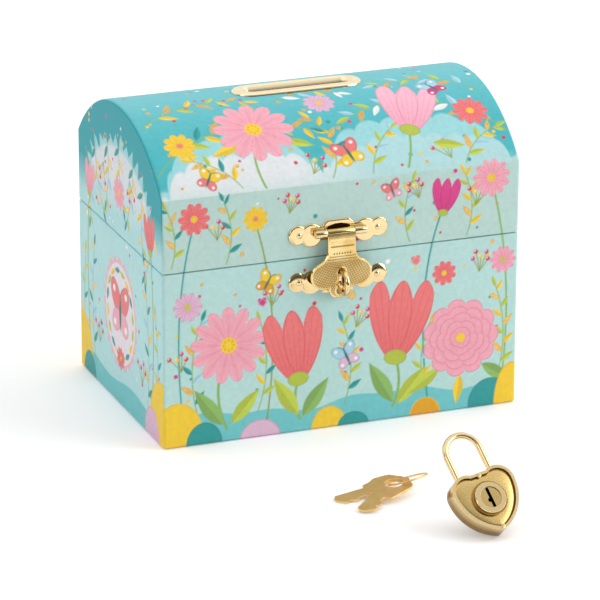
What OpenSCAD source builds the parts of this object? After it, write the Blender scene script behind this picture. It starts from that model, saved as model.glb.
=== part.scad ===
// Dome-lidded keepsake and money box with hasp, heart padlock and two keys, in millimetres.
// Origin: centre of the underside. +Z up, front towards -Y, right towards +X.

/* [Box] */
// Outside width, left to right
box_w = 160; // [130:1:200]
// Outside depth, front to back
box_d = 110; // [96:1:130]
// Height of the case up to its rim
case_h = 77; // [70:0.5:100]
// Gap between case rim and lid rim
seam_gap = 0.4; // [0.3:0.05:0.8]
// Height of the straight lid walls
lid_wall_h = 31.6; // [26:0.1:45]
// Rise of the dome above the lid walls
dome_rise = 25.7; // [20:0.1:32]
// Radius of the upright corners
corner_r = 1.2; // [0.9:0.1:2.5]

/* [Boards and papers] */
// Thickness of the wall boards
board_t = 2.5; // [2:0.1:3.5]
// Thickness of the floor board
floor_t = 2.5; // [2:0.1:4]
// Thickness of the bent dome board
dome_t = 2; // [1.4:0.1:3]
// Thickness of the printed paper
paper_t = 0.35; // [0.25:0.05:0.5]
// Thickness of the lining paper
lining_t = 0.3; // [0.2:0.05:0.5]
// Width of the paper turned under the case
turn_in = 12; // [8:1:20]
// Thickness of the sheet under the case
foot_t = 0.3; // [0.2:0.05:0.6]
// Inset of the sheet under the case
foot_inset = 4; // [2:0.5:7]
// Width of the dome paper turned over the lid ends
end_border = 6; // [3:0.5:10]

/* [Coin slot] */
// Length of the slot
slot_l = 46; // [34:1:60]
// Width of the slot
slot_w = 5.2; // [4.6:0.1:7]
// Width of the brass flange round the slot
slot_flange = 4.7; // [3:0.1:7]
// Height of the flange above the dome
slot_proud = 1.4; // [0.8:0.1:2.5]
// Wall of the sleeve through the dome
slot_wall = 1.4; // [0.8:0.1:2]
// Thickness of the clip under the dome
slot_clip_t = 0.8; // [0.5:0.1:1.5]

/* [Hasp] */
// Sideways place of the hasp
hasp_x = -2.4; // [-10:0.1:10]
// Height of the hasp pin above the lid rim
hasp_rise = 10.6; // [10:0.1:14]
// Width of both hasp plates
hasp_w = 44.4; // [42:0.1:50]
// Radius of the plates' end lobes
lobe_r = 4.2; // [3.8:0.1:4.6]
// Thickness of the hasp plates
plate_t = 0.8; // [0.6:0.1:1]
// Radius of the hasp knuckles
hasp_kn_r = 1.8; // [1.6:0.05:2]
// Radius of the hasp pin
hasp_pin_r = 0.8; // [0.6:0.05:1]
// Width of the leaf at its neck
leaf_neck = 12; // [10.5:0.1:12.5]
// Length of each plate knuckle
hasp_kn_l = 5.2; // [4:0.1:6]
// Width of the leaf at its bell
leaf_w = 27; // [25:0.1:28]
// Length of the leaf below its pin
leaf_l = 29.3; // [29:0.1:31]
// Thickness of the leaf
leaf_t = 0.9; // [0.7:0.05:1.2]
// Radius of the leaf's bow
leaf_bow_r = 70; // [60:1:120]
// Width of the slot in the leaf
leaf_slot_w = 3.4; // [3:0.1:4]
// Outside diameter of the staple ring
ring_d = 11.6; // [11:0.1:12]
// Wire of the staple ring
ring_wire = 2.3; // [2:0.1:2.5]
// Depth of the ring's centre below the pin
ring_drop = 21.1; // [20.8:0.1:21.5]
// Distance of the nails from the plate ends
nail_edge = 4.7; // [4.2:0.1:5.2]

/* [Nails and hinges] */
// Radius of a nail head
nail_head_r = 1.3; // [1:0.05:1.6]
// Height of a nail head
nail_head_h = 0.6; // [0.4:0.05:0.9]
// Radius of a nail shank
nail_r = 0.5; // [0.4:0.05:0.7]
// Depth of a nail in its board
nail_deep = 1.6; // [1:0.1:1.6]
// Distance of each hinge from the middle
hinge_x = 45; // [30:1:55]
// Width of a hinge
hinge_w = 18; // [16:0.5:24]
// Height of a hinge leaf
hinge_leaf_h = 10; // [8:0.5:14]
// Thickness of a hinge leaf
hinge_t = 0.8; // [0.6:0.1:1]
// Radius of a hinge knuckle
hinge_kn_r = 1.7; // [1.5:0.05:1.9]
// Radius of a hinge pin
hinge_pin_r = 0.75; // [0.6:0.05:0.9]
// Angle at which the hinge heels meet
lid_stop = 105; // [95:1:115]

/* [Padlock] */
// Width of the heart
heart_w = 27.6; // [24:0.1:28]
// Height of the lobes above the keyhole centre
heart_top = 12.2; // [11.6:0.1:13]
// Depth of the tip below the keyhole centre
heart_tip = 13.8; // [13:0.1:15]
// Thickness of the body
heart_t = 8; // [7.8:0.1:9]
// Width of the raised rim
heart_rim = 1.2; // [0.9:0.1:1.4]
// Height of the rim above the face plate
rim_h = 0.8; // [0.5:0.1:1]
// Thickness of the face plate
face_t = 0.8; // [0.6:0.1:1]
// Radius of the round collar
collar_r = 6.6; // [6:0.1:7]
// Height of the collar above the face plate
collar_h = 2.2; // [1.6:0.1:3]
// Radius of the plug
plug_r = 4.4; // [4.2:0.05:4.6]
// Width of the keyway
keyway_w = 1.3; // [1.1:0.05:1.6]
// Radius of the shackle wire
shackle_r = 1.3; // [1.1:0.05:1.4]
// Distance of each shackle leg from the middle
shackle_x = 7.5; // [7.1:0.1:7.6]
// Height of the shackle's bend centre
shackle_y = 21.9; // [19:0.1:26]
// Lift of the shackle when unlocked
shackle_lift = 6.2; // [6:0.1:6.6]
// Backward lean of the padlock
lock_lean = 42; // [20:1:50]
// Sideways roll of the padlock
lock_roll = 11.3; // [0:0.1:25]
// Place of the padlock tip, left to right
lock_x = 13.9; // [-40:0.1:60]
// Place of the padlock tip, front to back
lock_y = -188.4; // [-210:0.1:-160]

/* [Keys] */
// Thickness of a key
key_t = 0.8; // [0.6:0.05:0.85]
// Distance from the key's hole to its tip
key_l = 26; // [24:0.5:30]
// Width of the blade
blade_w = 7.6; // [6.5:0.1:8]
// Radius of the hole in the bow
key_hole_r = 3.9; // [3.85:0.05:4.1]
// Radius of the key ring's centre line
keyring_r = 8.2; // [7.8:0.1:9]
// Wire of the key ring
keyring_wire = 0.8; // [0.6:0.05:0.85]
// Slope of the key ring
keyring_slope = 22.5; // [22:0.5:26]
// Place of the key holes, left to right
keys_x = -7.8; // [-40:0.1:30]
// Place of the key holes, front to back
keys_y = -131.8; // [-150:0.1:-110]
// Angle between the keys
key_fan = 37.6; // [20:0.1:60]

/* [Fits] */
// Running clearance of pins and plug, on the radius
run_clear = 0.05; // [0.02:0.01:0.08]
// Clearance between sliding flat faces
flat_clear = 0.15; // [0.1:0.05:0.2]
// Nail and sleeve clearance in its hole
seat_clear = 0.03; // [0.01:0.01:0.06]

/* [Hidden] */

paper_c = [0.55, 0.82, 0.82];
dome_c = [0.22, 0.70, 0.74];
board_c = [0.62, 0.60, 0.56];
lining_c = [0.93, 0.86, 0.88];
brass_c = [0.85, 0.68, 0.35];
steel_c = [0.66, 0.67, 0.68];

base_z = foot_t + paper_t;
lid_z = case_h + seam_gap;
spring_z = lid_z + lid_wall_h;
dome_r = (pow(box_d / 2, 2) + pow(dome_rise, 2)) / (2 * dome_rise);
dome_z = spring_z + dome_rise - dome_r;
front_y = -box_d / 2;
back_y = box_d / 2;
in_w = box_w - 2 * (paper_t + board_t);
in_d = box_d - 2 * (paper_t + board_t);
in_dome_r = dome_r - paper_t - dome_t;

hasp_z = lid_z + hasp_rise;
hasp_y = front_y - plate_t - hasp_kn_r - 0.2;
ring_z = hasp_z - ring_drop;
ring_y = front_y - plate_t - ring_d / 2;
ring_r = (ring_d - ring_wire) / 2;
eye_r = ring_r - ring_wire / 2 + 0.1;
nail_x = hasp_w / 2 - nail_edge;
bell_r = 6.2;
bell_x = leaf_w / 2 - bell_r;
bell_z = -18.3;
flare_r = 6;
flare_x = leaf_neck / 2 + flare_r;
flare_z = bell_z + sqrt(pow(bell_r + flare_r, 2) - pow(flare_x - bell_x, 2));
meet = [flare_x + (bell_x - flare_x) * flare_r / (bell_r + flare_r),
    flare_z + (bell_z - flare_z) * flare_r / (bell_r + flare_r)];
leaf_top_y = hasp_y - hasp_kn_r + leaf_t / 2;
leaf_low_y = front_y - plate_t - 0.3 - leaf_t / 2;
leaf_run = [leaf_low_y - leaf_top_y, -leaf_l];
leaf_chord = norm(leaf_run);
bow_reach = sqrt(pow(leaf_bow_r, 2) - pow(leaf_chord / 2, 2));
bow_y = (leaf_top_y + leaf_low_y) / 2 + bow_reach * leaf_l / leaf_chord;
bow_z = hasp_z - leaf_l / 2 + bow_reach * (leaf_low_y - leaf_top_y) / leaf_chord;

hinge_y = back_y + hinge_kn_r + 0.35;
hinge_z = case_h + seam_gap / 2;
hinge_mid = 0.36 * hinge_w;
hinge_side = (hinge_w - hinge_mid) / 2 - 0.2;
hinge_nails = [for (x = [-1, 1]) x * (hinge_w / 2 - 3.4)];
heel_l = 2 * hinge_kn_r;

lobe = heart_w / 4;
lobe_y = heart_top - lobe;
side_r = (pow(lobe_y + heart_tip, 2) / (heart_w / 2) + heart_w / 2) / 2;
side_x = side_r - heart_w / 2;
notch_y = heart_top - 0.9;
face_z = heart_t - rim_h - face_t;
plug_z0 = 3.4;
shackle_z = heart_t / 2;
toe_y = 8.4;
toe_h = 1;
toe_in = 0.6;
latch_move = 2.4;
leg_notch_y = toe_y - shackle_lift * toe_in / latch_move - 0.1;
leg_end_y = leg_notch_y - 1;
long_end_y = 1;
pin_arm = latch_move / 2;
cam_r = 0.8;
lock_up = heart_tip * cos(lock_roll) * cos(lock_lean);
lock_at = [lock_x - heart_tip * sin(lock_roll),
    lock_y + heart_tip * cos(lock_roll) * sin(lock_lean), lock_up];

key_gap = 0.06;
keys_z = keyring_r * sin(keyring_slope) + keyring_wire / 2 + 0.005;
key_tilt = asin((keys_z - key_t - key_gap / 2) / (key_l * cos(key_fan / 2)));
key_yaw = 23.3;
keyring_yaw = 24.6;

// Plain shapes shared by several pieces

module rr(w, d, r) {
    square([w - 2 * r, d], center = true);
    square([w, d - 2 * r], center = true);
    for (x = [-1, 1], y = [-1, 1])
        translate([x * (w / 2 - r), y * (d / 2 - r)]) circle(r = r, $fn = 48);
}

// Upright column of the box outline, set in by a paper thickness
module column(inset, z0, z1) {
    translate([0, 0, z0]) linear_extrude(z1 - z0)
        rr(box_w - 2 * inset, box_d - 2 * inset, corner_r - inset);
}

// A drawing in the Y-Z plane run along X
module along_x(x0, x1) {
    translate([x0, 0, 0]) rotate([90, 0, 90]) linear_extrude(x1 - x0) children();
}

// A drawing in the X-Z plane run along Y
module along_y(y0, y1) {
    translate([0, y1, 0]) rotate([90, 0, 0]) linear_extrude(y1 - y0) children();
}

// Cross-section of the lid: walls at half depth hd, dome of radius r, above height z
module lid_section(hd, r, z) {
    intersection() {
        translate([-hd, z]) square([2 * hd, box_d]);
        translate([0, dome_z]) circle(r = r, $fn = 240);
    }
}

module box_at(a, b) {
    translate(a) cube(b - a);
}

module bar_y(x, z, r, y0, y1) {
    translate([x, y0, z]) rotate([-90, 0, 0]) cylinder(r = r, h = y1 - y0, $fn = 32);
}

module bar_x(y, z, r, x0, x1) {
    translate([x0, y, z]) rotate([0, 90, 0]) cylinder(r = r, h = x1 - x0, $fn = 48);
}

// Round-headed nail driven along Y: towards = 1 into the front, -1 into the back
module nail(x, face, z, towards, plate) {
    y0 = face - towards * plate;
    translate([x, y0, z]) rotate([-90 * towards, 0, 0]) {
        cylinder(r = nail_r, h = plate + paper_t + nail_deep, $fn = 32);
        translate([0, 0, -nail_head_h]) cylinder(r = nail_head_r, h = nail_head_h, $fn = 32);
    }
}

module nail_bore(x, face, z, towards, plate) {
    translate([x, face - towards * (plate + 1), z]) rotate([-90 * towards, 0, 0])
        cylinder(r = nail_r + seat_clear, h = plate + 1 + paper_t + nail_deep + 0.05, $fn = 32);
}

module staple_nail_bores() {
    for (s = [-1, 1]) nail_bore(hasp_x + s * nail_x, front_y, ring_z, 1, plate_t);
}

module hasp_nail_bores() {
    for (s = [-1, 1]) nail_bore(hasp_x + s * nail_x, front_y, hasp_z - 0.4, 1, plate_t);
}

module hinge_nail_bores(dir) {
    for (s = [-1, 1], x = hinge_nails)
        nail_bore(s * hinge_x + x, back_y, hinge_z + dir * (hinge_leaf_h / 2 + 2), -1, hinge_t);
}

// Case

module case_wall(y0, y1) {
    intersection() {
        column(paper_t, base_z, case_h - paper_t);
        box_at([-box_w, y0, 0], [box_w, y1, case_h]);
    }
}

module case_front_board() {
    color(board_c) difference() {
        case_wall(front_y, front_y + paper_t + board_t);
        staple_nail_bores();
    }
}

module case_back_board() {
    color(board_c) difference() {
        case_wall(back_y - paper_t - board_t, back_y);
        hinge_nail_bores(-1);
    }
}

module case_end_board(s) {
    x0 = s * (box_w / 2 - paper_t - board_t / 2);
    color(board_c) box_at([x0 - board_t / 2, -in_d / 2, base_z],
        [x0 + board_t / 2, in_d / 2, case_h - paper_t]);
}

module case_left_board() {
    case_end_board(-1);
}

module case_right_board() {
    case_end_board(1);
}

module case_floor_board() {
    color(board_c) box_at([-in_w / 2, -in_d / 2, base_z], [in_w / 2, in_d / 2, base_z + floor_t]);
}

module case_wrap() {
    color(paper_c) difference() {
        column(0, foot_t, case_h);
        column(paper_t, base_z, case_h - paper_t);
        box_at([-box_w / 2 + turn_in, front_y + turn_in, -1], [box_w / 2 - turn_in, back_y - turn_in, 2]);
        box_at([-in_w / 2 + lining_t, -in_d / 2 + lining_t, case_h - 1],
            [in_w / 2 - lining_t, in_d / 2 - lining_t, case_h + 1]);
        staple_nail_bores();
        hinge_nail_bores(-1);
    }
}

module case_foot_sheet() {
    color(board_c) {
        box_at([-box_w / 2 + foot_inset, front_y + foot_inset, 0],
            [box_w / 2 - foot_inset, back_y - foot_inset, foot_t]);
        box_at([-box_w / 2 + turn_in, front_y + turn_in, 0],
            [box_w / 2 - turn_in, back_y - turn_in, base_z]);
    }
}

module case_lining() {
    z0 = base_z + floor_t;
    color(lining_c) difference() {
        box_at([-in_w / 2, -in_d / 2, z0], [in_w / 2, in_d / 2, case_h - paper_t]);
        box_at([-in_w / 2 + lining_t, -in_d / 2 + lining_t, z0 + lining_t],
            [in_w / 2 - lining_t, in_d / 2 - lining_t, case_h]);
    }
}

// Hasp

// Outline of both hasp plates: end lobes, shoulders and a middle block
module plate_outline() {
    block = 0.155 * hasp_w;
    tall = 1.35 * lobe_r;
    for (s = [-1, 1]) {
        translate([s * (hasp_w / 2 - lobe_r), 0]) circle(r = lobe_r, $fn = 48);
        translate([s * 0.27 * hasp_w, -0.6]) circle(r = 1.2 * lobe_r, $fn = 48);
    }
    square([hasp_w - 2 * lobe_r, 1.5 * lobe_r], center = true);
    translate([0, -0.3]) polygon([[-block, -tall], [block, -tall], [block, tall - 1.9], [block - 1.9, tall],
        [1.9 - block, tall], [-block, tall - 1.9]]);
}

module plate_at(z) {
    translate([hasp_x, 0, z]) along_y(front_y - plate_t, front_y) plate_outline();
}

module staple_plate() {
    color(brass_c) difference() {
        plate_at(ring_z);
        staple_nail_bores();
        bar_y(hasp_x, ring_z, ring_wire / 2 - 0.1 + seat_clear, front_y - 2, front_y + 1);
    }
}

module staple_ring() {
    color(brass_c) difference() {
        union() {
            translate([hasp_x, ring_y, ring_z]) rotate([0, 90, 0]) rotate_extrude($fn = 96)
                translate([ring_r, 0]) circle(r = ring_wire / 2, $fn = 48);
            bar_y(hasp_x, ring_z, ring_wire / 2 - 0.1, ring_y + ring_r, front_y);
        }
        bar_x(ring_y, ring_z, eye_r, hasp_x - 5, hasp_x + 5);
    }
}

module staple_nails() {
    color(brass_c) for (s = [-1, 1]) nail(hasp_x + s * nail_x, front_y, ring_z, 1, plate_t);
}

module hasp_plate() {
    color(brass_c) difference() {
        union() {
            plate_at(hasp_z - 0.4);
            for (s = [0, 1]) mirror([s, 0, 0]) {
                x0 = leaf_neck / 2 + flat_clear + (s == 0 ? hasp_x : -hasp_x);
                bar_x(hasp_y, hasp_z, hasp_kn_r, x0, x0 + hasp_kn_l);
                box_at([x0, hasp_y, hasp_z - hasp_kn_r], [x0 + hasp_kn_l, front_y - plate_t / 2, hasp_z - 0.2]);
            }
        }
        bar_x(hasp_y, hasp_z, hasp_pin_r + seat_clear, hasp_x - hasp_w, hasp_x + hasp_w);
        hasp_nail_bores();
    }
}

module hasp_pin() {
    half = leaf_neck / 2 + flat_clear + hasp_kn_l;
    color(brass_c) bar_x(hasp_y, hasp_z, hasp_pin_r, hasp_x - half, hasp_x + half);
}

module hasp_nails() {
    color(brass_c) for (s = [-1, 1])
        nail(hasp_x + s * nail_x, front_y, hasp_z - 0.4, 1, plate_t);
}

// Flared leaf outline, pin at zero, hanging down
module leaf_outline() {
    difference() {
        union() {
            polygon([[-leaf_neck / 2, 0], [leaf_neck / 2, 0], [leaf_neck / 2, flare_z], meet,
                [bell_x, bell_z], [-bell_x, bell_z], [-meet[0], meet[1]], [-leaf_neck / 2, flare_z]]);
            for (s = [-1, 1]) translate([s * bell_x, bell_z]) circle(r = bell_r, $fn = 64);
            translate([0, -leaf_l + 5]) circle(r = 5, $fn = 64);
            square_low = bell_z - bell_r;
            translate([-bell_x, square_low]) square([2 * bell_x, bell_r + 1]);
        }
        for (s = [-1, 1]) translate([s * flare_x, flare_z]) circle(r = flare_r, $fn = 64);
        translate([0, -ring_drop - 0.3]) rotate(90) stadium(ring_d + 0.9, leaf_slot_w);
    }
}

module hasp_leaf() {
    color(brass_c) difference() {
        union() {
            bar_x(hasp_y, hasp_z, hasp_kn_r, hasp_x - leaf_neck / 2, hasp_x + leaf_neck / 2);
            intersection() {
                translate([hasp_x, 0, hasp_z]) along_y(front_y - 5 * hasp_kn_r, front_y) leaf_outline();
                difference() {
                    bar_x(bow_y, bow_z, leaf_bow_r + leaf_t / 2, hasp_x - leaf_w, hasp_x + leaf_w);
                    bar_x(bow_y, bow_z, leaf_bow_r - leaf_t / 2, hasp_x - leaf_w - 1, hasp_x + leaf_w + 1);
                }
            }
        }
        bar_x(hasp_y, hasp_z, hasp_pin_r + run_clear, hasp_x - leaf_w, hasp_x + leaf_w);
    }
}

// Hinges at the back, with heels that stop the lid

module hinge_leaf_plate(x, dir) {
    z0 = hinge_z + dir * (hinge_kn_r - 0.2);
    z1 = z0 + dir * hinge_leaf_h;
    box_at([x - hinge_w / 2, back_y, min(z0, z1)], [x + hinge_w / 2, back_y + hinge_t, max(z0, z1)]);
}

module hinge_web(x0, x1, dir) {
    za = hinge_z + dir * hinge_kn_r;
    zb = hinge_z + dir * 0.35;
    box_at([x0, back_y + 0.05, min(za, zb)], [x1, hinge_y, max(za, zb)]);
}

module hinge_case_leaf(x) {
    mid = hinge_mid / 2 + 0.2;
    color(brass_c) difference() {
        union() {
            hinge_leaf_plate(x, -1);
            for (s = [-1, 1]) {
                x0 = s < 0 ? x - mid - hinge_side : x + mid;
                bar_x(hinge_y, hinge_z, hinge_kn_r, x0, x0 + hinge_side);
                hinge_web(x0, x0 + hinge_side, -1);
            }
            box_at([x - hinge_mid / 2, back_y, hinge_z - heel_l - 0.2],
                [x + hinge_mid / 2, hinge_y + heel_l * 0.5, hinge_z - heel_l + 0.6]);
            translate([x, hinge_y, hinge_z]) rotate([60 - lid_stop, 0, 0])
                box_at([-hinge_mid / 2, heel_l * 0.62, -1.25], [hinge_mid / 2, heel_l, -0.45]);
        }
        bar_x(hinge_y, hinge_z, hinge_pin_r + seat_clear, x - hinge_w, x + hinge_w);
        hinge_nail_bores(-1);
    }
}

module hinge_case_leaf_left() {
    hinge_case_leaf(-hinge_x);
}

module hinge_case_leaf_right() {
    hinge_case_leaf(hinge_x);
}

module hinge_lid_leaf(x) {
    color(brass_c) difference() {
        union() {
            hinge_leaf_plate(x, 1);
            bar_x(hinge_y, hinge_z, hinge_kn_r, x - hinge_mid / 2, x + hinge_mid / 2);
            hinge_web(x - hinge_mid / 2, x + hinge_mid / 2, 1);
            translate([x, hinge_y, hinge_z]) rotate([60, 0, 0])
                box_at([-hinge_mid / 2, hinge_kn_r - 0.5, -0.4], [hinge_mid / 2, heel_l, 0.4]);
        }
        bar_x(hinge_y, hinge_z, hinge_pin_r + run_clear, x - hinge_w, x + hinge_w);
        hinge_nail_bores(1);
    }
}

module hinge_lid_leaf_left() {
    hinge_lid_leaf(-hinge_x);
}

module hinge_lid_leaf_right() {
    hinge_lid_leaf(hinge_x);
}

module hinge_pins() {
    half = hinge_mid / 2 + 0.2 + hinge_side;
    color(brass_c) for (s = [-1, 1])
        bar_x(hinge_y, hinge_z, hinge_pin_r, s * hinge_x - half, s * hinge_x + half);
}

module hinge_nail_set(dir) {
    color(brass_c) for (s = [-1, 1], x = hinge_nails)
        nail(s * hinge_x + x, back_y, hinge_z + dir * (hinge_leaf_h / 2 + 2), -1, hinge_t);
}

module hinge_case_nails() {
    hinge_nail_set(-1);
}

module hinge_lid_nails() {
    hinge_nail_set(1);
}

// Lid

module lid_wall(y0, y1) {
    intersection() {
        column(paper_t, lid_z + paper_t, spring_z + dome_rise);
        box_at([-box_w, y0, 0], [box_w, y1, spring_z + dome_rise]);
        along_x(-box_w, box_w) lid_section(box_d / 2, in_dome_r, lid_z + paper_t);
    }
}

module lid_front_board() {
    color(board_c) difference() {
        lid_wall(front_y, front_y + paper_t + board_t);
        hasp_nail_bores();
    }
}

module lid_back_board() {
    color(board_c) difference() {
        lid_wall(back_y - paper_t - board_t, back_y);
        hinge_nail_bores(1);
    }
}

module lid_end_board(s) {
    x0 = s * (box_w / 2 - paper_t - board_t / 2);
    color(board_c) along_x(x0 - board_t / 2, x0 + board_t / 2)
        lid_section(in_d / 2, in_dome_r, lid_z + paper_t);
}

module lid_left_board() {
    lid_end_board(-1);
}

module lid_right_board() {
    lid_end_board(1);
}

// Slot outline: length l, width w
module stadium(l, w) {
    rr(l, w, w / 2 - 0.01);
}

module slot_bore(grow) {
    translate([0, 0, spring_z]) linear_extrude(dome_rise + 2 * slot_flange)
        stadium(slot_l + 2 * grow, slot_w + 2 * grow);
}

module lid_dome_board() {
    color(board_c) difference() {
        intersection() {
            column(paper_t, lid_z, spring_z + dome_rise + 1);
            along_x(-box_w, box_w) difference() {
                lid_section(box_d, dome_r - paper_t, lid_z);
                translate([0, dome_z]) circle(r = in_dome_r, $fn = 240);
            }
        }
        slot_bore(slot_wall + seat_clear);
    }
}

module lid_wrap() {
    e = box_w / 2;
    color(dome_c) difference() {
        intersection() {
            column(0, lid_z, spring_z + dome_rise + 1);
            along_x(-e, e) lid_section(box_d / 2, dome_r, lid_z);
        }
        intersection() {
            column(paper_t, lid_z + paper_t, spring_z + dome_rise + 1);
            along_x(-e, e) lid_section(box_d / 2, dome_r - paper_t, lid_z);
        }
        for (s = [-1, 1]) along_x(s * e - 1, s * e + 1)
            lid_section(box_d / 2 - end_border, dome_r - end_border, lid_z + end_border);
        box_at([-in_w / 2 + lining_t, -in_d / 2 + lining_t, lid_z - 1],
            [in_w / 2 - lining_t, in_d / 2 - lining_t, lid_z + 1]);
        slot_bore(slot_wall + seat_clear);
        hasp_nail_bores();
        hinge_nail_bores(1);
    }
}

module lid_end_paper(s) {
    x0 = s < 0 ? -box_w / 2 : box_w / 2 - paper_t;
    color(paper_c) along_x(x0, x0 + paper_t)
        lid_section(box_d / 2 - end_border, dome_r - end_border, lid_z + end_border);
}

module lid_left_paper() {
    lid_end_paper(-1);
}

module lid_right_paper() {
    lid_end_paper(1);
}

module lid_lining() {
    color(lining_c) difference() {
        along_x(-in_w / 2, in_w / 2) lid_section(in_d / 2, in_dome_r, lid_z + paper_t);
        along_x(-in_w / 2 + lining_t, in_w / 2 - lining_t)
            lid_section(in_d / 2 - lining_t, in_dome_r - lining_t, lid_z);
        slot_bore(slot_wall + seat_clear);
    }
}

// Brass frame of the coin slot: flange on the dome and a sleeve through it
module coin_slot_trim() {
    deep = in_dome_r - lining_t - slot_clip_t - 0.6;
    color(brass_c) difference() {
        intersection() {
            union() {
                translate([0, 0, spring_z]) linear_extrude(dome_rise + 2 * slot_flange)
                    difference() {
                        stadium(slot_l + 2 * slot_flange + 2 * slot_wall, slot_w + 2 * slot_flange);
                        stadium(slot_l, slot_w);
                    }
            }
            along_x(-box_w, box_w) translate([0, dome_z]) circle(r = dome_r + slot_proud, $fn = 240);
        }
        difference() {
            along_x(-box_w, box_w) translate([0, dome_z]) circle(r = dome_r, $fn = 240);
            slot_bore(slot_wall);
        }
        along_x(-box_w, box_w) translate([0, dome_z]) circle(r = deep, $fn = 240);
    }
}

module coin_slot_clip() {
    r = in_dome_r - lining_t;
    color(steel_c) intersection() {
        along_x(-box_w, box_w) translate([0, dome_z]) difference() {
            circle(r = r, $fn = 240);
            circle(r = r - slot_clip_t, $fn = 240);
        }
        translate([0, 0, spring_z]) linear_extrude(dome_rise + 2 * slot_flange) difference() {
            stadium(slot_l + 2 * slot_flange, slot_w + 2 * slot_flange);
            stadium(slot_l + 2 * slot_wall + 2 * seat_clear, slot_w + 2 * slot_wall + 2 * seat_clear);
        }
    }
}

// Padlock, drawn flat with its face up and then leaned back as it stands

module as_lock() {
    translate(lock_at) rotate([90 - lock_lean, 0, 0]) rotate([0, 0, lock_roll]) children();
}

// Heart set in by d: two lobes, a filled notch and two long side arcs that meet at the tip
module heart(d) {
    for (s = [-1, 1]) translate([s * lobe, lobe_y]) circle(r = lobe - d, $fn = 96);
    translate([-lobe, lobe_y - 1]) square([2 * lobe, notch_y - d - lobe_y + 1]);
    intersection() {
        translate([side_x, lobe_y]) circle(r = side_r - d, $fn = 240);
        translate([-side_x, lobe_y]) circle(r = side_r - d, $fn = 240);
        translate([-heart_w, lobe_y - 2 * heart_w]) square([2 * heart_w, 2 * heart_w]);
    }
}

module leg_bore(x, y0, r) {
    translate([x, y0, shackle_z]) rotate([-90, 0, 0]) cylinder(r = r, h = heart_w, $fn = 48);
}

module padlock_body() {
    pocket_z = 1.9;
    color(brass_c) as_lock() {
        difference() {
            linear_extrude(heart_t) heart(0);
            translate([0, 0, face_z]) linear_extrude(heart_t) heart(heart_rim);
            translate([0, 0, plug_z0 - 0.1]) cylinder(r = plug_r + 1.3, h = heart_t, $fn = 96);
            box_at([-3.5, -3.8, pocket_z], [5.2, 0.9, plug_z0 + 0.1]);
            box_at([0.2, 0, pocket_z], [5.2, toe_y + toe_h + 0.1, plug_z0 + 0.1]);
            box_at([0.2, toe_y - 0.1, pocket_z], [shackle_x, toe_y + toe_h + 0.1, 4.7]);
            leg_bore(shackle_x, leg_end_y - 0.3, shackle_r + run_clear);
            leg_bore(-shackle_x, -4, shackle_r + run_clear);
        }
        for (y = [notch_y - 1, 1.4 - heart_tip]) intersection() {
            translate([0, y, face_z + face_t]) cylinder(r = 1, h = rim_h + 0.1, $fn = 32);
            linear_extrude(2 * heart_t) heart(0);
        }
    }
}

module padlock_face_plate() {
    color(brass_c) as_lock() translate([0, 0, face_z]) linear_extrude(face_t) difference() {
        heart(heart_rim + seat_clear);
        circle(r = plug_r + run_clear, $fn = 96);
    }
}

module padlock_collar() {
    color(brass_c) as_lock() translate([0, 0, face_z + face_t]) difference() {
        union() {
            cylinder(r = collar_r + 0.7, h = collar_h * 0.4, $fn = 96);
            cylinder(r = collar_r - 0.3, h = collar_h, $fn = 96);
            translate([0, 0, collar_h - 0.6]) rotate_extrude($fn = 96)
                translate([collar_r - 0.6, 0]) circle(r = 0.6, $fn = 32);
        }
        translate([0, 0, -1]) cylinder(r = plug_r + run_clear, h = collar_h + 3, $fn = 96);
    }
}

// Plug with a keyway in front and a driving pin behind
module padlock_plug() {
    top = face_z + face_t + collar_h - 0.5;
    color(brass_c) as_lock() difference() {
        union() {
            translate([0, 0, plug_z0]) cylinder(r = plug_r, h = top - plug_z0, $fn = 96);
            translate([0, 0, face_z - 1]) cylinder(r = plug_r + 1, h = 0.9, $fn = 96);
            translate([pin_arm, -pin_arm, 2]) cylinder(r = cam_r, h = plug_z0 - 1.9, $fn = 32);
        }
        translate([0, 0, plug_z0 + 1]) linear_extrude(heart_t) {
            square([keyway_w, 2 * plug_r - 0.4], center = true);
            translate([-keyway_w / 2, -0.9]) circle(r = 0.9, $fn = 32);
        }
    }
}

// Sliding bolt: a yoke round the plug's pin, an arm and a toe in the shackle's notch
module padlock_latch() {
    tip = shackle_x - shackle_r + toe_in;
    yoke = cam_r + flat_clear;
    color(steel_c) as_lock() difference() {
        union() {
            box_at([-0.9, -3.6, 2], [5, 0.7, 3.2]);
            box_at([2.8, 0, 2], [5, toe_y + toe_h, 3.2]);
            box_at([2.8, toe_y, 2], [tip, toe_y + toe_h, 4.6]);
        }
        box_at([pin_arm - yoke, -pin_arm * sqrt(2) - yoke, 1], [pin_arm + yoke, -pin_arm + yoke, 4]);
    }
}

module padlock_shackle() {
    bite = shackle_x - shackle_r;
    color(brass_c) as_lock() translate([0, 0, shackle_z]) difference() {
        union() {
            translate([0, shackle_y, 0]) rotate_extrude(angle = 180, $fn = 144)
                translate([shackle_x, 0]) circle(r = shackle_r, $fn = 48);
            for (p = [[shackle_x, leg_end_y], [-shackle_x, long_end_y]])
                translate([p[0], p[1], 0]) rotate([-90, 0, 0])
                    cylinder(r = shackle_r, h = shackle_y - p[1], $fn = 48);
        }
        box_at([bite - 1, leg_notch_y, -2], [bite + toe_in + 0.1, toe_y + toe_h + 0.1, 2]);
    }
}

// Coil spring under the long leg, one tube swept along a helix
spring_turns = 5;
spring_step = 14;
spring_r = shackle_r - 0.35;
spring_wire = 0.17;
spring_y0 = -3.75;
spring_y1 = long_end_y - 0.3;
spring_n = spring_turns * spring_step;
spring_gap = (spring_y1 - spring_y0) / spring_turns - 2 * spring_wire;
echo(spring_gap = spring_gap);

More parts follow.
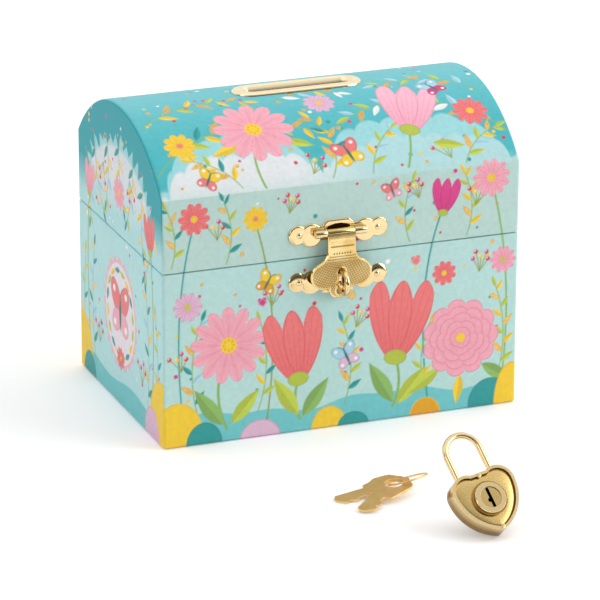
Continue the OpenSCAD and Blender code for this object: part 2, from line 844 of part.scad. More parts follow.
function spring_point(i, k) = let (a = 360 * i / spring_step, b = 60 * k, r = spring_r + spring_wire * cos(b))
    [r * cos(a), spring_y0 + (spring_y1 - spring_y0) * i / spring_n + spring_wire * sin(b), r * sin(a)];

module padlock_spring() {
    points = [for (i = [0 : spring_n], k = [0 : 5]) spring_point(i, k)];
    sides = [for (i = [0 : spring_n - 1], k = [0 : 5], h = [0, 1]) let (j = (k + 1) % 6, p = 6 * i)
        h == 0 ? [p + k, p + j, p + 6 + k] : [p + j, p + 6 + j, p + 6 + k]];
    ends = [[5, 4, 3, 2, 1, 0], [for (k = [0 : 5]) 6 * spring_n + k]];
    color(steel_c) as_lock() translate([-shackle_x, 0, shackle_z])
        polyhedron(points, concat(sides, ends), convexity = 10);
}

// Keys, one plane for both, propped on their ring

module as_keys() {
    translate([keys_x, keys_y, keys_z]) rotate([0, 0, key_yaw]) rotate([0, -key_tilt, 0]) children();
}

// Flat key, hole at the origin, blade towards -X and a little to one side of the bow
module key_shape() {
    u = key_l / 26;
    v = blade_w / 7.6;
    back = 4.5 * v;
    cut = -3.1 * v;
    difference() {
        polygon([[-11.5 * u, back], [-11.1 * u, 6.8 * v], [-1.4 * u, 10.1 * v], [1.2 * u, 9.8 * v],
            [6.3 * u, 5.3 * v], [6.3 * u, -3.6 * v], [1.2 * u, -8.1 * v], [-1.4 * u, -8.4 * v],
            [-12.2 * u, -5.1 * v], [-12.4 * u, cut + v], [-13.6 * u, cut + 1.6 * v],
            [-16.2 * u, cut + 1.6 * v], [-17.2 * u, cut + 0.2 * v], [-19.4 * u, cut],
            [-20.2 * u, cut + v], [-21.2 * u, cut + v], [-22.2 * u, cut - 0.2 * v],
            [-23.4 * u, cut + 0.2 * v], [-24 * u, cut + 1.5 * v], [-25 * u, cut + 2.2 * v],
            [0.1 - key_l, cut + 3.5 * v], [0.1 - key_l, back - 1.9 * v], [1.4 - key_l, back]]);
        circle(r = key_hole_r, $fn = 64);
    }
}

module key_a() {
    color(brass_c) as_keys() rotate([0, 0, -key_fan / 2])
        translate([0, 0, -key_gap / 2 - key_t]) linear_extrude(key_t) key_shape();
}

module key_b() {
    color(brass_c) as_keys() rotate([0, 0, key_fan / 2])
        translate([0, 0, key_gap / 2]) linear_extrude(key_t) key_shape();
}

module key_ring() {
    color(steel_c) translate([keys_x, keys_y, keys_z]) rotate([0, 0, keyring_yaw])
        translate([keyring_r, 0, 0]) rotate([-keyring_slope, 0, 0]) rotate_extrude($fn = 144)
            translate([keyring_r, 0]) circle(r = keyring_wire / 2, $fn = 32);
}

case_front_board();
case_back_board();
case_left_board();
case_right_board();
case_floor_board();
case_wrap();
case_lining();
case_foot_sheet();
staple_plate();
staple_ring();
staple_nails();
hinge_case_leaf_left();
hinge_case_leaf_right();
hinge_pins();
hinge_case_nails();
lid_front_board();
lid_back_board();
lid_left_board();
lid_right_board();
lid_dome_board();
lid_wrap();
lid_left_paper();
lid_right_paper();
lid_lining();
coin_slot_trim();
coin_slot_clip();
hasp_plate();
hasp_pin();
hasp_nails();
hinge_lid_leaf_left();
hinge_lid_leaf_right();
hinge_lid_nails();
hasp_leaf();
padlock_body();
padlock_face_plate();
padlock_collar();
padlock_spring();
padlock_plug();
padlock_latch();
padlock_shackle();
key_a();
key_b();
key_ring();
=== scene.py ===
"""Looks of a dome-lidded keepsake and money box: printed papers, brass fittings, heart padlock and keys."""

import math

import bpy
import numpy as np
from mathutils import Matrix, Vector


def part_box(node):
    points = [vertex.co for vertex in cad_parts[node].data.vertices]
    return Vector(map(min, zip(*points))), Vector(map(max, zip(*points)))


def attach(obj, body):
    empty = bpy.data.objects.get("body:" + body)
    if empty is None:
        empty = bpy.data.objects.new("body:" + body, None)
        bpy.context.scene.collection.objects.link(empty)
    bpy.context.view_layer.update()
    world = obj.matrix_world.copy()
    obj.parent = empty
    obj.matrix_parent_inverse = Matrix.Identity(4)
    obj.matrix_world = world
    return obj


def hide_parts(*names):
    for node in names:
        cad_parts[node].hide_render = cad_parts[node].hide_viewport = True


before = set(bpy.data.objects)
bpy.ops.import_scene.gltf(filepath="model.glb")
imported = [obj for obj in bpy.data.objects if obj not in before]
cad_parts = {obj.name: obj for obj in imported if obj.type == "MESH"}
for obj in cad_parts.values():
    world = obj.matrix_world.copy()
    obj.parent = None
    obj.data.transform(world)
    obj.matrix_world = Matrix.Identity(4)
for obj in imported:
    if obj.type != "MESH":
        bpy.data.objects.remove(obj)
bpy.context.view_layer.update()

bl_info = {
    "name": "Keepsake box looks",
    "version": (1, 0, 0),
    "blender": (4, 5, 0),
    "location": "View3D > Sidebar > Keepsake",
    "description": "Papers, brass and light for a dome-lidded keepsake box",
    "category": "Object",
}

PI = math.pi
SHARP = 0.62
TOUCHING = 1e-6
NO_AREA = 1e-8
ON_LINE = 1e-5
TINY = 1e-9


def span(node):
    """Lowest and highest corner of a CAD node in millimetres, as two arrays."""
    low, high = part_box(node)
    return np.array(low) * 1000.0, np.array(high) * 1000.0


def middle(node):
    """Middle of a CAD node in millimetres."""
    low, high = span(node)
    return (low + high) / 2


# Sizes of the box and its papers, in millimetres like all sizes below

CASE_LOW, CASE_HIGH = span("case_wrap")
LID_LOW, LID_HIGH = span("lid_wrap")
HALF_W, HALF_D = CASE_HIGH[:2]
FOOT_R = 1.0
FOOT_IN = 12.0
RIM_R = 0.6
RIM_IN = HALF_W - span("case_lining")[1][0] + 0.3
FOLD = 1.2
EIGHTH = np.linspace(PI / 4, 0, 6)
QUARTER = np.linspace(0, PI / 2, 6)
INSIDE_BOX = np.array((0.0, 0.0, 60.0))

# Sizes of the coin slot

SLOT_HALF = 2.6
SLOT_STRAIGHT = 20.4
SLOT_FLANGE = 4.7
SLOT_END_FLANGE = 6.1
SLEEVE_DEEP = 4.6
SLEEVE_WALL = 1.05
UNDER_FLANGE = 1.6

# Sizes of the hasp and the staple

PLATE_W = 44.4
PLATE_T = 0.8
LOBE = 4.2
BLOCK_HALF = 0.155 * PLATE_W
BLOCK_TALL = 1.35 * LOBE
BLOCK_EASE = 0.3
BAR_HALF = 0.75 * LOBE
KNUCKLE_R = 1.8
KNUCKLE_L = 5.2
NAIL_R = 1.3
LEAF_NECK = 6.0
LEAF_T = 0.9
LEAF_L = 29.3
LEAF_BOW = 70.0
LEAF_GAP = 0.3
END_GAP = 0.15

# Stand of the padlock: its back by the keyhole, its lean and its roll

LOCK_AT = np.array((11.1959, -179.3450, 10.0566))
LOCK_LEAN = math.radians(48.0)
LOCK_ROLL = math.radians(11.3)
LOCK_OUT = np.array((0.0, -math.sin(LOCK_LEAN), math.cos(LOCK_LEAN)))


# Colours


def ink(red, green, blue):
    """Linear colour of a screen colour given in steps of 255."""
    c = np.array((red, green, blue)) / 255.0
    return np.where(c <= 0.04045, c / 12.92, ((c + 0.055) / 1.055) ** 2.4)


MINT = ink(186, 222, 218)
LID_MINT = ink(188, 218, 211)
AQUA = ink(184, 226, 227)
TURQUOISE = ink(80, 184, 192)
DEEP_TEAL = ink(38, 164, 174)
GROUND = ink(118, 200, 204)
LILAC_WHITE = ink(234, 230, 236)
CLOUD = ink(158, 216, 219)
CLOUD_WHITE = ink(226, 230, 232)
PINK = ink(245, 176, 190)
ROSE_LINE = ink(222, 98, 128)
CORAL = ink(240, 128, 128)
CORAL_LINE = ink(205, 62, 80)
LILAC = ink(226, 190, 214)
MAGENTA = ink(214, 74, 138)
RED = ink(216, 64, 62)
YELLOW = ink(246, 208, 66)
AMBER = ink(230, 168, 52)
LIME = ink(192, 207, 84)
LEAF = ink(142, 184, 104)
OLIVE = ink(150, 160, 74)
TEAL = ink(62, 160, 158)
TEAL_LINE = TEAL * 0.5
PALE_BLUE = ink(172, 214, 232)
WHITE = ink(250, 250, 248)
GOLD_INK = ink(214, 176, 92)


# Meshes


def skin(name, grids, inside=None, material=None, hole=None):
    """Mesh object from grids of points in millimetres.

    Each grid is an array rows x columns x 3, joined into quads between neighbours. Faces that on
    the whole look towards a point inside the piece, or else its middle, are turned outwards. Faces
    without area are left out, and so are those where a hole, a function of X and Y, is true.
    """
    corners, quads, start = [], [], 0
    for grid in grids:
        rows, cols = grid.shape[:2]
        at = start + np.arange(rows * cols).reshape(rows, cols)
        quad = np.stack((at[:-1, :-1], at[:-1, 1:], at[1:, 1:], at[1:, :-1]), axis=-1).reshape(-1, 4)
        points = grid.reshape(-1, 3)
        a, b, c, d = (points[quad[:, k] - start] for k in range(4))
        facing = np.cross(c - a, d - b)
        core = points.mean(0) if inside is None else inside
        if (facing * ((a + c) / 2 - core)).sum() < 0:
            quad = quad[:, ::-1]
        quad = quad[np.linalg.norm(facing, axis=1) > NO_AREA]
        if hole is not None:
            centres = points[quad - start].mean(1)
            quad = quad[~hole(centres[:, 0], centres[:, 1])]
        corners.append(points)
        quads.append(quad)
        start += rows * cols
    corners = np.concatenate(corners) / 1000.0
    quads = np.concatenate(quads)
    mesh = bpy.data.meshes.new(name)
    mesh.vertices.add(len(corners))
    mesh.vertices.foreach_set("co", corners.astype(np.float32).ravel())
    mesh.loops.add(quads.size)
    mesh.loops.foreach_set("vertex_index", quads.astype(np.int32).ravel())
    mesh.polygons.add(len(quads))
    mesh.polygons.foreach_set("loop_start", np.arange(0, quads.size, 4, dtype=np.int32))
    mesh.polygons.foreach_set("use_smooth", np.ones(len(quads), dtype=bool))
    mesh.update(calc_edges=True)
    mesh.set_sharp_from_angle(angle=SHARP)
    piece = bpy.data.objects.new(name, mesh)
    bpy.context.scene.collection.objects.link(piece)
    if material is not None:
        mesh.materials.append(material)
    return piece


def nearest(x, y, rim_x, rim_y):
    """Distance from each point to the nearest one of a rim."""
    return np.sqrt((x[..., None] - rim_x) ** 2 + (y[..., None] - rim_y) ** 2).min(-1)


def way_along(x, y):
    """Length of a path from its start to each of its points."""
    return np.concatenate(([0.0], np.cumsum(np.hypot(np.diff(x), np.diff(y)))))


def mirrored(half, sign=1.0):
    """Half a path, times sign, and on from its end the way back."""
    return np.concatenate((sign * half, half[-2::-1]))


def mark(piece, name, values):
    """Keeps a share for each mesh point, grid by grid, under a name that the finishes read."""
    layer = piece.data.attributes.new(name=name, type="FLOAT", domain="POINT")
    layer.data.foreach_set("value", np.concatenate([v.ravel() for v in values]).astype(np.float32))


def place(piece, body, slot, *nodes):
    """Sets a piece on its body and hides the CAD nodes that it stands for; slot is not used."""
    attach(piece, body)
    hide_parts(*nodes)
    return piece


def print_piece(name, grids, sheets, body, slot, *nodes, hole=None):
    """A printed sheet: its grids of points, the print of each, its body and the nodes it stands for."""
    piece = skin(name, grids, INSIDE_BOX, bpy.data.materials["art_paper"], hole)
    inks = np.concatenate([sheet.ink for sheet in sheets])
    rgba = np.concatenate((inks, np.ones((len(inks), 1))), axis=1).astype(np.float32)
    colour = piece.data.color_attributes.new(name="print", type="FLOAT_COLOR", domain="POINT")
    colour.data.foreach_set("color", rgba.ravel())
    mark(piece, "foil", [sheet.foil for sheet in sheets])
    return place(piece, body, slot, *nodes)


def metal_piece(name, material, body, node, grids, hole=None, **marks):
    """A metal piece from closed grids, joined at seams and poles, with its marks, in place of a CAD node."""
    piece = skin(name, grids, None, material, hole)
    weld = piece.modifiers.new("closed_seams", "WELD")
    weld.merge_threshold = TOUCHING
    for key, values in marks.items():
        mark(piece, key, values)
    return place(piece, body, "polished_brass", node)


# Print

SOFT_EDGE = 0.45


def soft(depth):
    """Ink cover from a depth in millimetres inside an outline, with a soft printed edge."""
    return np.clip(0.5 + depth / SOFT_EDGE, 0.0, 1.0)


def ease(t):
    """Smooth step from 0 to 1."""
    return t * t * (3 - 2 * t)


def heading(degrees):
    """Unit step across and up in a direction given in degrees."""
    return np.array((math.cos(math.radians(degrees)), math.sin(math.radians(degrees))))


def bearing(step):
    """Direction in degrees of a step across and up."""
    return math.degrees(math.atan2(step[1], step[0]))


def oval(a, b, across, up):
    """Depth inside an oval of two half sizes, as a share of the lesser one."""
    return (1 - np.hypot(a / across, b / up)) * min(across, up)


def off_line(value, step):
    """Way to the nearest of even lines a step apart, the first of them half a step from nought."""
    return np.abs((value / step) % 1 - 0.5) * step


def spokes(angle, count, far, shift=0.0):
    """Way round to the nearest of a number of even spokes, at a distance from their hub."""
    step = 2 * PI / count
    return off_line(angle + shift * step, step) * far


def mottle(u, v, grain, seed):
    """Smooth noise from 0 to 1: hashed lattice values, eased between neighbours grain apart."""
    a, b = u / grain, v / grain
    i, j = np.floor(a), np.floor(b)
    f, g = ease(a - i), ease(b - j)

    def lattice(x, y):
        h = np.sin(x * 127.1 + y * 311.7 + seed * 74.7) * 43758.5453
        return h - np.floor(h)

    low = lattice(i, j) * (1 - f) + lattice(i + 1, j) * f
    high = lattice(i, j + 1) * (1 - f) + lattice(i + 1, j + 1) * f
    return low * (1 - g) + high * g


class Print:
    """Inks laid one over another on a sheet whose points sit at u across and v up, in millimetres."""

    def __init__(self, u, v, ground):
        self.u = u.ravel()
        self.v = v.ravel()
        self.ink = np.array(np.broadcast_to(ground, (self.u.size, 3)))
        self.foil = np.zeros(self.u.size)

    def spot(self, x, y, reach, turn=0.0):
        """Points within reach of a place, with their own across and up after a turn in degrees."""
        near = np.nonzero((np.abs(self.u - x) < reach) & (np.abs(self.v - y) < reach))[0]
        c, s = heading(turn)
        du, dv = self.u[near] - x, self.v[near] - y
        return near, c * du + s * dv, c * dv - s * du

    def lay(self, near, cover, colour, foil=0.0):
        """Mixes a colour over what is there by its cover from 0 to 1."""
        cover = np.clip(cover, 0.0, 1.0)
        self.ink[near] += cover[:, None] * (colour - self.ink[near])
        self.foil[near] += cover * (foil - self.foil[near])

    def dot(self, x, y, r, colour, foil=0.0):
        """Disc: cover from radius less distance."""
        near, a, b = self.spot(x, y, r + 1)
        self.lay(near, soft(r - np.hypot(a, b)), colour, foil)

    def leaf(self, x, y, length, width, turn, colour, foil=0.0):
        """Leaf from its stalk along its turn: half width is a sine of the way along, with a vein."""
        near, a, b = self.spot(x, y, length + 1, turn)
        t = np.clip(a / length, 0.0, 1.0)
        depth = np.minimum(width / 2 * np.sin(PI * t ** 0.82) - np.abs(b), np.minimum(a, length - a))
        cover = soft(depth)
        shade = np.where(b > 0, 0.86, 1.06)[:, None] if not foil else 1.0
        self.lay(near, cover, np.clip(colour * shade, 0, 1), foil)
        if not foil:
            self.lay(near, cover * soft(0.02 - np.abs(b)) * 0.5, colour * 0.55)

    def stem(self, points, width, colour):
        """Stem on a bent line of three points: cover from half width less distance to the line."""
        path = bend(points, np.linspace(0, 1, 40))
        low, high = path.min(0) - 2, path.max(0) + 2
        near = np.nonzero((self.u > low[0]) & (self.u < high[0]) & (self.v > low[1]) & (self.v < high[1]))[0]
        if not near.size:
            return
        at = np.stack((self.u[near], self.v[near]), axis=1)
        step = path[1:] - path[:-1]
        along = ((at[:, None] - path[:-1]) * step).sum(2) / (step ** 2).sum(1)
        foot = path[:-1] + np.clip(along, 0, 1)[:, :, None] * step
        away = np.sqrt(((at[:, None] - foot) ** 2).sum(2)).min(1)
        self.lay(near, soft(width / 2 - away), colour)

    def sprig(self, points, count, length, colours, foil_every=0):
        """Leaves in turn left and right along a bent stem, smaller towards its tip."""
        self.stem(points, 0.5, LEAF)
        for k in range(count):
            t = 0.18 + 0.78 * k / max(count - 1, 1)
            at, ahead = bend(points, np.array([t, min(t + 0.02, 1.02)]))
            turn = bearing(ahead - at) + (46 if k % 2 else -46)
            size = length * (1.08 - 0.35 * t)
            gold = foil_every and k % foil_every == 1
            colour = GOLD_INK if gold else colours[k % len(colours)]
            self.leaf(*at, size, size * 0.34, turn, colour, 1.0 if gold else 0.0)
        turn = bearing(np.subtract(points[2], points[1]))
        self.leaf(*points[2], length * 0.8, length * 0.27, turn, colours[0])

    def berries(self, x, y, colours, reach=7.0, count=4, turn=90.0, r=1.25):
        """Berries on fine stalks that fan out from one place."""
        for k in range(count):
            far = reach * (0.82 + 0.3 * (k % 2))
            end = (x, y) + far * heading(turn + 64 * (k / max(count - 1, 1) - 0.5))
            self.stem(((x, y), ((x + end[0]) / 2 + 0.5, (y + end[1]) / 2), end), 0.42, OLIVE)
            self.dot(*end, r, colours[k % len(colours)])
            self.dot(end[0] - 0.35 * r, end[1] + 0.35 * r, 0.3 * r, WHITE)

    def daisy(self, x, y, r, petals, colour, line, heart=YELLOW, turn=0.0):
        """Wheel of petals: its rim swells with the cosine of the angle, and fine lines run out to it."""
        near, a, b = self.spot(x, y, r + 1, turn)
        far, angle = np.hypot(a, b), np.arctan2(b, a)
        rim = r * (0.66 + 0.34 * np.abs(np.cos(angle * petals / 2)) ** 0.55)
        cover = soft(rim - far)
        deep = 0.10 * (1 - (far / r)[:, None])
        self.lay(near, cover, colour * (1 - deep) + deep * line)
        gap = spokes(angle, petals * (3 if r > 10 else 1), far)
        self.lay(near, cover * soft(0.06 - gap) * 0.45 * (far > 0.3 * r) * (far < 0.84 * r), line)
        split = spokes(angle, petals, far, 0.5)
        self.lay(near, cover * soft(0.06 - split) * 0.8, line)
        self.lay(near, cover * soft(0.10 - np.abs(rim - far - 0.2)) * 0.55, line)
        self.dot(x, y, 0.21 * r, heart)
        for t in range(0, 360, 45):
            self.dot(*((x, y) + 0.13 * r * heading(t)), 0.026 * r, AMBER)

    def tulip(self, x, y, height, turn, colour, line, tips=3):
        """Cup of petals from its stalk: half width is a sine of the height, the top runs in rounded tips."""
        near, a, b = self.spot(x, y, height * 1.15, turn)
        t = np.clip(b / height, 0.0, 1.0)
        half = 0.40 * height * np.sin(PI * np.clip(0.04 + 0.62 * t, 0, 1)) ** 0.62 * (1 + 0.10 * t)
        wave = np.abs(np.cos(tips * PI * a / (0.92 * height) + (tips % 2 == 0) * PI / 2))
        top = height * (0.74 + 0.26 * wave ** 0.8)
        depth = np.minimum(np.minimum(half - np.abs(a), b * 1.2), (top - b) * 0.7)
        cover = soft(depth)
        self.lay(near, cover, colour)
        self.lay(near, cover * np.clip(0.7 - t, 0, 1) * 0.35, line)
        hub, step = 0.55 * height, 0.068
        fan, far = np.arctan2(a, b + hub), np.hypot(a, b + hub)
        self.lay(near, cover * soft(0.05 - off_line(fan + step / 2, step) * far) * 0.5, line)
        for side in (-1, 1):
            fold = np.abs(a - side * 0.15 * height * np.sin(PI * np.clip(t, 0, 1) * 0.9))
            self.lay(near, cover * soft(0.1 - fold) * 0.7, line)
        self.lay(near, cover * soft(0.30 - depth) * 0.6, line)
        cup = oval(a, b, 0.15 * height, 0.10 * height)
        self.lay(near, soft(cup), LIME * 0.9)
        self.lay(near, soft(cup) * soft(0.2 - cup) * 0.6, LEAF * 0.6)

    def rosette(self, x, y, r, colour, line, rings=4):
        """Layers of round petals, each ring smaller and turned by half a petal."""
        for k in range(rings):
            outer = r * (1 - 0.72 * k / (rings - 1))
            petals = 11 - 2 * k
            near, a, b = self.spot(x, y, outer + 1, 17.0 * k)
            far, angle = np.hypot(a, b), np.arctan2(b, a)
            rim = outer * (0.84 + 0.16 * np.abs(np.cos(angle * petals / 2)) ** 0.6)
            cover = soft(rim - far)
            tone = 0.55 + 0.45 * np.clip(far / outer, 0, 1)[:, None]
            self.lay(near, cover, colour * tone + line * (1 - tone))
            self.lay(near, cover * soft(0.04 - spokes(angle, petals * 3, far)) * 0.3, line)
            self.lay(near, cover * soft(0.32 - (rim - far)) * 0.75, line)
        self.dot(x, y, 0.12 * r, YELLOW)

    def butterfly(self, x, y, size, turn, upper, lower):
        """Four round wings about a slim body, with spots and feelers."""
        for side in (-1, 1):
            for lean, reach, wide, tint in ((38, 1.0, 0.62, upper), (128, 0.72, 0.56, lower)):
                way = turn + side * lean + 90
                half, tip = 0.5 * size * reach, size * reach * heading(way)
                near, a, b = self.spot(*((x, y) + 0.5 * tip), size, way)
                out = (1 - np.hypot(a / half, b / (0.5 * size * wide))) * 0.3 * size
                cover = soft(out)
                self.lay(near, cover, tint)
                self.lay(near, cover * soft(0.28 - out) * 0.8, tint * 0.5)
                vein = off_line(np.arctan2(b, a + half), 0.22) * 0.5 * size
                self.lay(near, cover * soft(-0.06 - vein) * 0.6, tint * 0.55)
                self.dot(*((x, y) + 0.72 * tip), 0.09 * size, WHITE)
        near, a, b = self.spot(x, y, size, turn)
        self.lay(near, soft(oval(a, b, 0.07 * size, 0.42 * size)), TEAL_LINE)
        ahead, beside = size * heading(turn + 90), size * heading(turn + 180)
        for side in (-1, 1):
            out = 0.72 * ahead + side * 0.24 * beside
            self.stem([(x, y) + 0.36 * ahead, (x, y) + 0.6 * ahead, (x, y) + out], 0.35, TEAL_LINE)

    def small_heart(self, x, y, size, turn, colour, foil=0.0):
        """Heart from the sixth-power curve (a2 + b2 - 1)3 = a2 b3."""
        near, a, b = self.spot(x, y, size * 1.4, turn)
        a, b = a / size * 1.15, b / size * 1.15
        field = (a * a + b * b - 1) ** 3 - a * a * b ** 3
        self.lay(near, soft(-field * size * 0.6), colour, foil)

    def hill(self, x, y, across, up, colour, line):
        """Rounded stone or hill: an oval that sits on the ground, with a drawn edge and hatching."""
        near, a, b = self.spot(x, y, max(across, up) + 1)
        out = oval(a, b, across, up)
        cover = soft(out)
        self.lay(near, cover, colour)
        self.lay(near, cover * soft(-0.02 - off_line(a * 0.8 + b, 1.3)) * 0.3, line)
        self.lay(near, cover * soft(0.25 - out) * 0.7, line)

    def confetti(self, box, count, seed, colours, gold=0.25):
        """Small dots strewn over a box of u and v, some of them foil."""
        dice = np.random.default_rng(seed)
        for u, v, r, pick, shine in dice.random((count, 5)):
            x, y = box[0] + u * (box[1] - box[0]), box[2] + v * (box[3] - box[2])
            if shine < gold:
                self.dot(x, y, 0.55 + 0.5 * r, GOLD_INK, 1.0)
            else:
                self.dot(x, y, 0.45 + 0.6 * r, colours[int(pick * len(colours))])


def bend(points, t):
    """Points at t on the quadratic curve of three control points."""
    a, b, c = (np.asarray(p, dtype=float) for p in points)
    t = np.asarray(t)[:, None]
    return (1 - t) ** 2 * a + 2 * t * (1 - t) * b + t * t * c


def each(draw, *rows):
    """Draws one motif for each row of its values."""
    for row in rows:
        draw(*row)


def over(sheet, cover, colour):
    """A colour over the grounds of a sheet, by its cover from 0 to 1."""
    return sheet + cover[:, None] * (colour - sheet)


def paper_tone(sheet, u, v, seed, fine_seed):
    """Grounds with a faint mottle, coarse and fine."""
    tone = 0.975 + 0.03 * mottle(u, v, 9.0, seed) + 0.03 * mottle(u, v, 1.4, fine_seed)
    return np.clip(sheet * tone[:, None], 0, 1)


MIXED_LEAVES = (YELLOW, PALE_BLUE, LIME, TEAL, YELLOW)
CONFETTI = (MAGENTA, WHITE, YELLOW, TEAL, RED)
# Paler turquoise laid towards the dome's top: painted sheen for the glare of its gloss.
DOME_SHEEN = ink(150, 212, 218)
SEAM_V = 77.2
END_SEEDS = {"left": 31, "right": 47}
NO_ARCH = 60.0


def front_ground(u, v, spring):
    """Ground colours of the front: case mint, lid mint and cloud banks on turquoise above the crease, with
    painted sheen on top.
    """
    walls = np.where((v < SEAM_V)[:, None], MINT, LID_MINT)
    sheet = np.where((v < spring)[:, None], walls, TURQUOISE)
    rise = v - spring
    above = rise >= 0
    # Painted sheen: paler towards the top of the dome
    sheet = over(sheet, np.clip((rise - 20) / 45, 0, 1) * 0.33 * above, DOME_SHEEN)
    left, right = (np.clip(1 - ((u - at) / half) ** 2, 0, 1) for at, half in ((-42, 34), (34, 42)))
    swell = np.maximum(left, right) ** 0.5
    white = np.clip((30 - u) / 50, 0.25, 1)[:, None]
    near_cloud = CLOUD + white * (CLOUD_WHITE - CLOUD)
    for tall, wide, shift, colour in ((27, 12.0, 0.0, CLOUD), (16, 9.0, 4.0, near_cloud)):
        puff = np.abs(np.sin(PI * (u + shift) / wide)) ** 0.7
        bank = tall * swell + 3.2 * puff + 1.0 * np.sin(u / 7.0 + shift)
        sheet = over(sheet, soft((bank - rise) * 0.3) * above, colour)
    sheet = over(sheet, np.clip(1 - rise / 6.0, 0, 1) * 0.4 * above, LID_MINT)
    bank = 12.0 + 1.6 * np.sin(u / 12.0) + 1.0 * np.sin(u / 5.3 + 1)
    sheet = over(sheet, soft(bank - v), GROUND)
    return paper_tone(sheet, u, v, 3, 8)


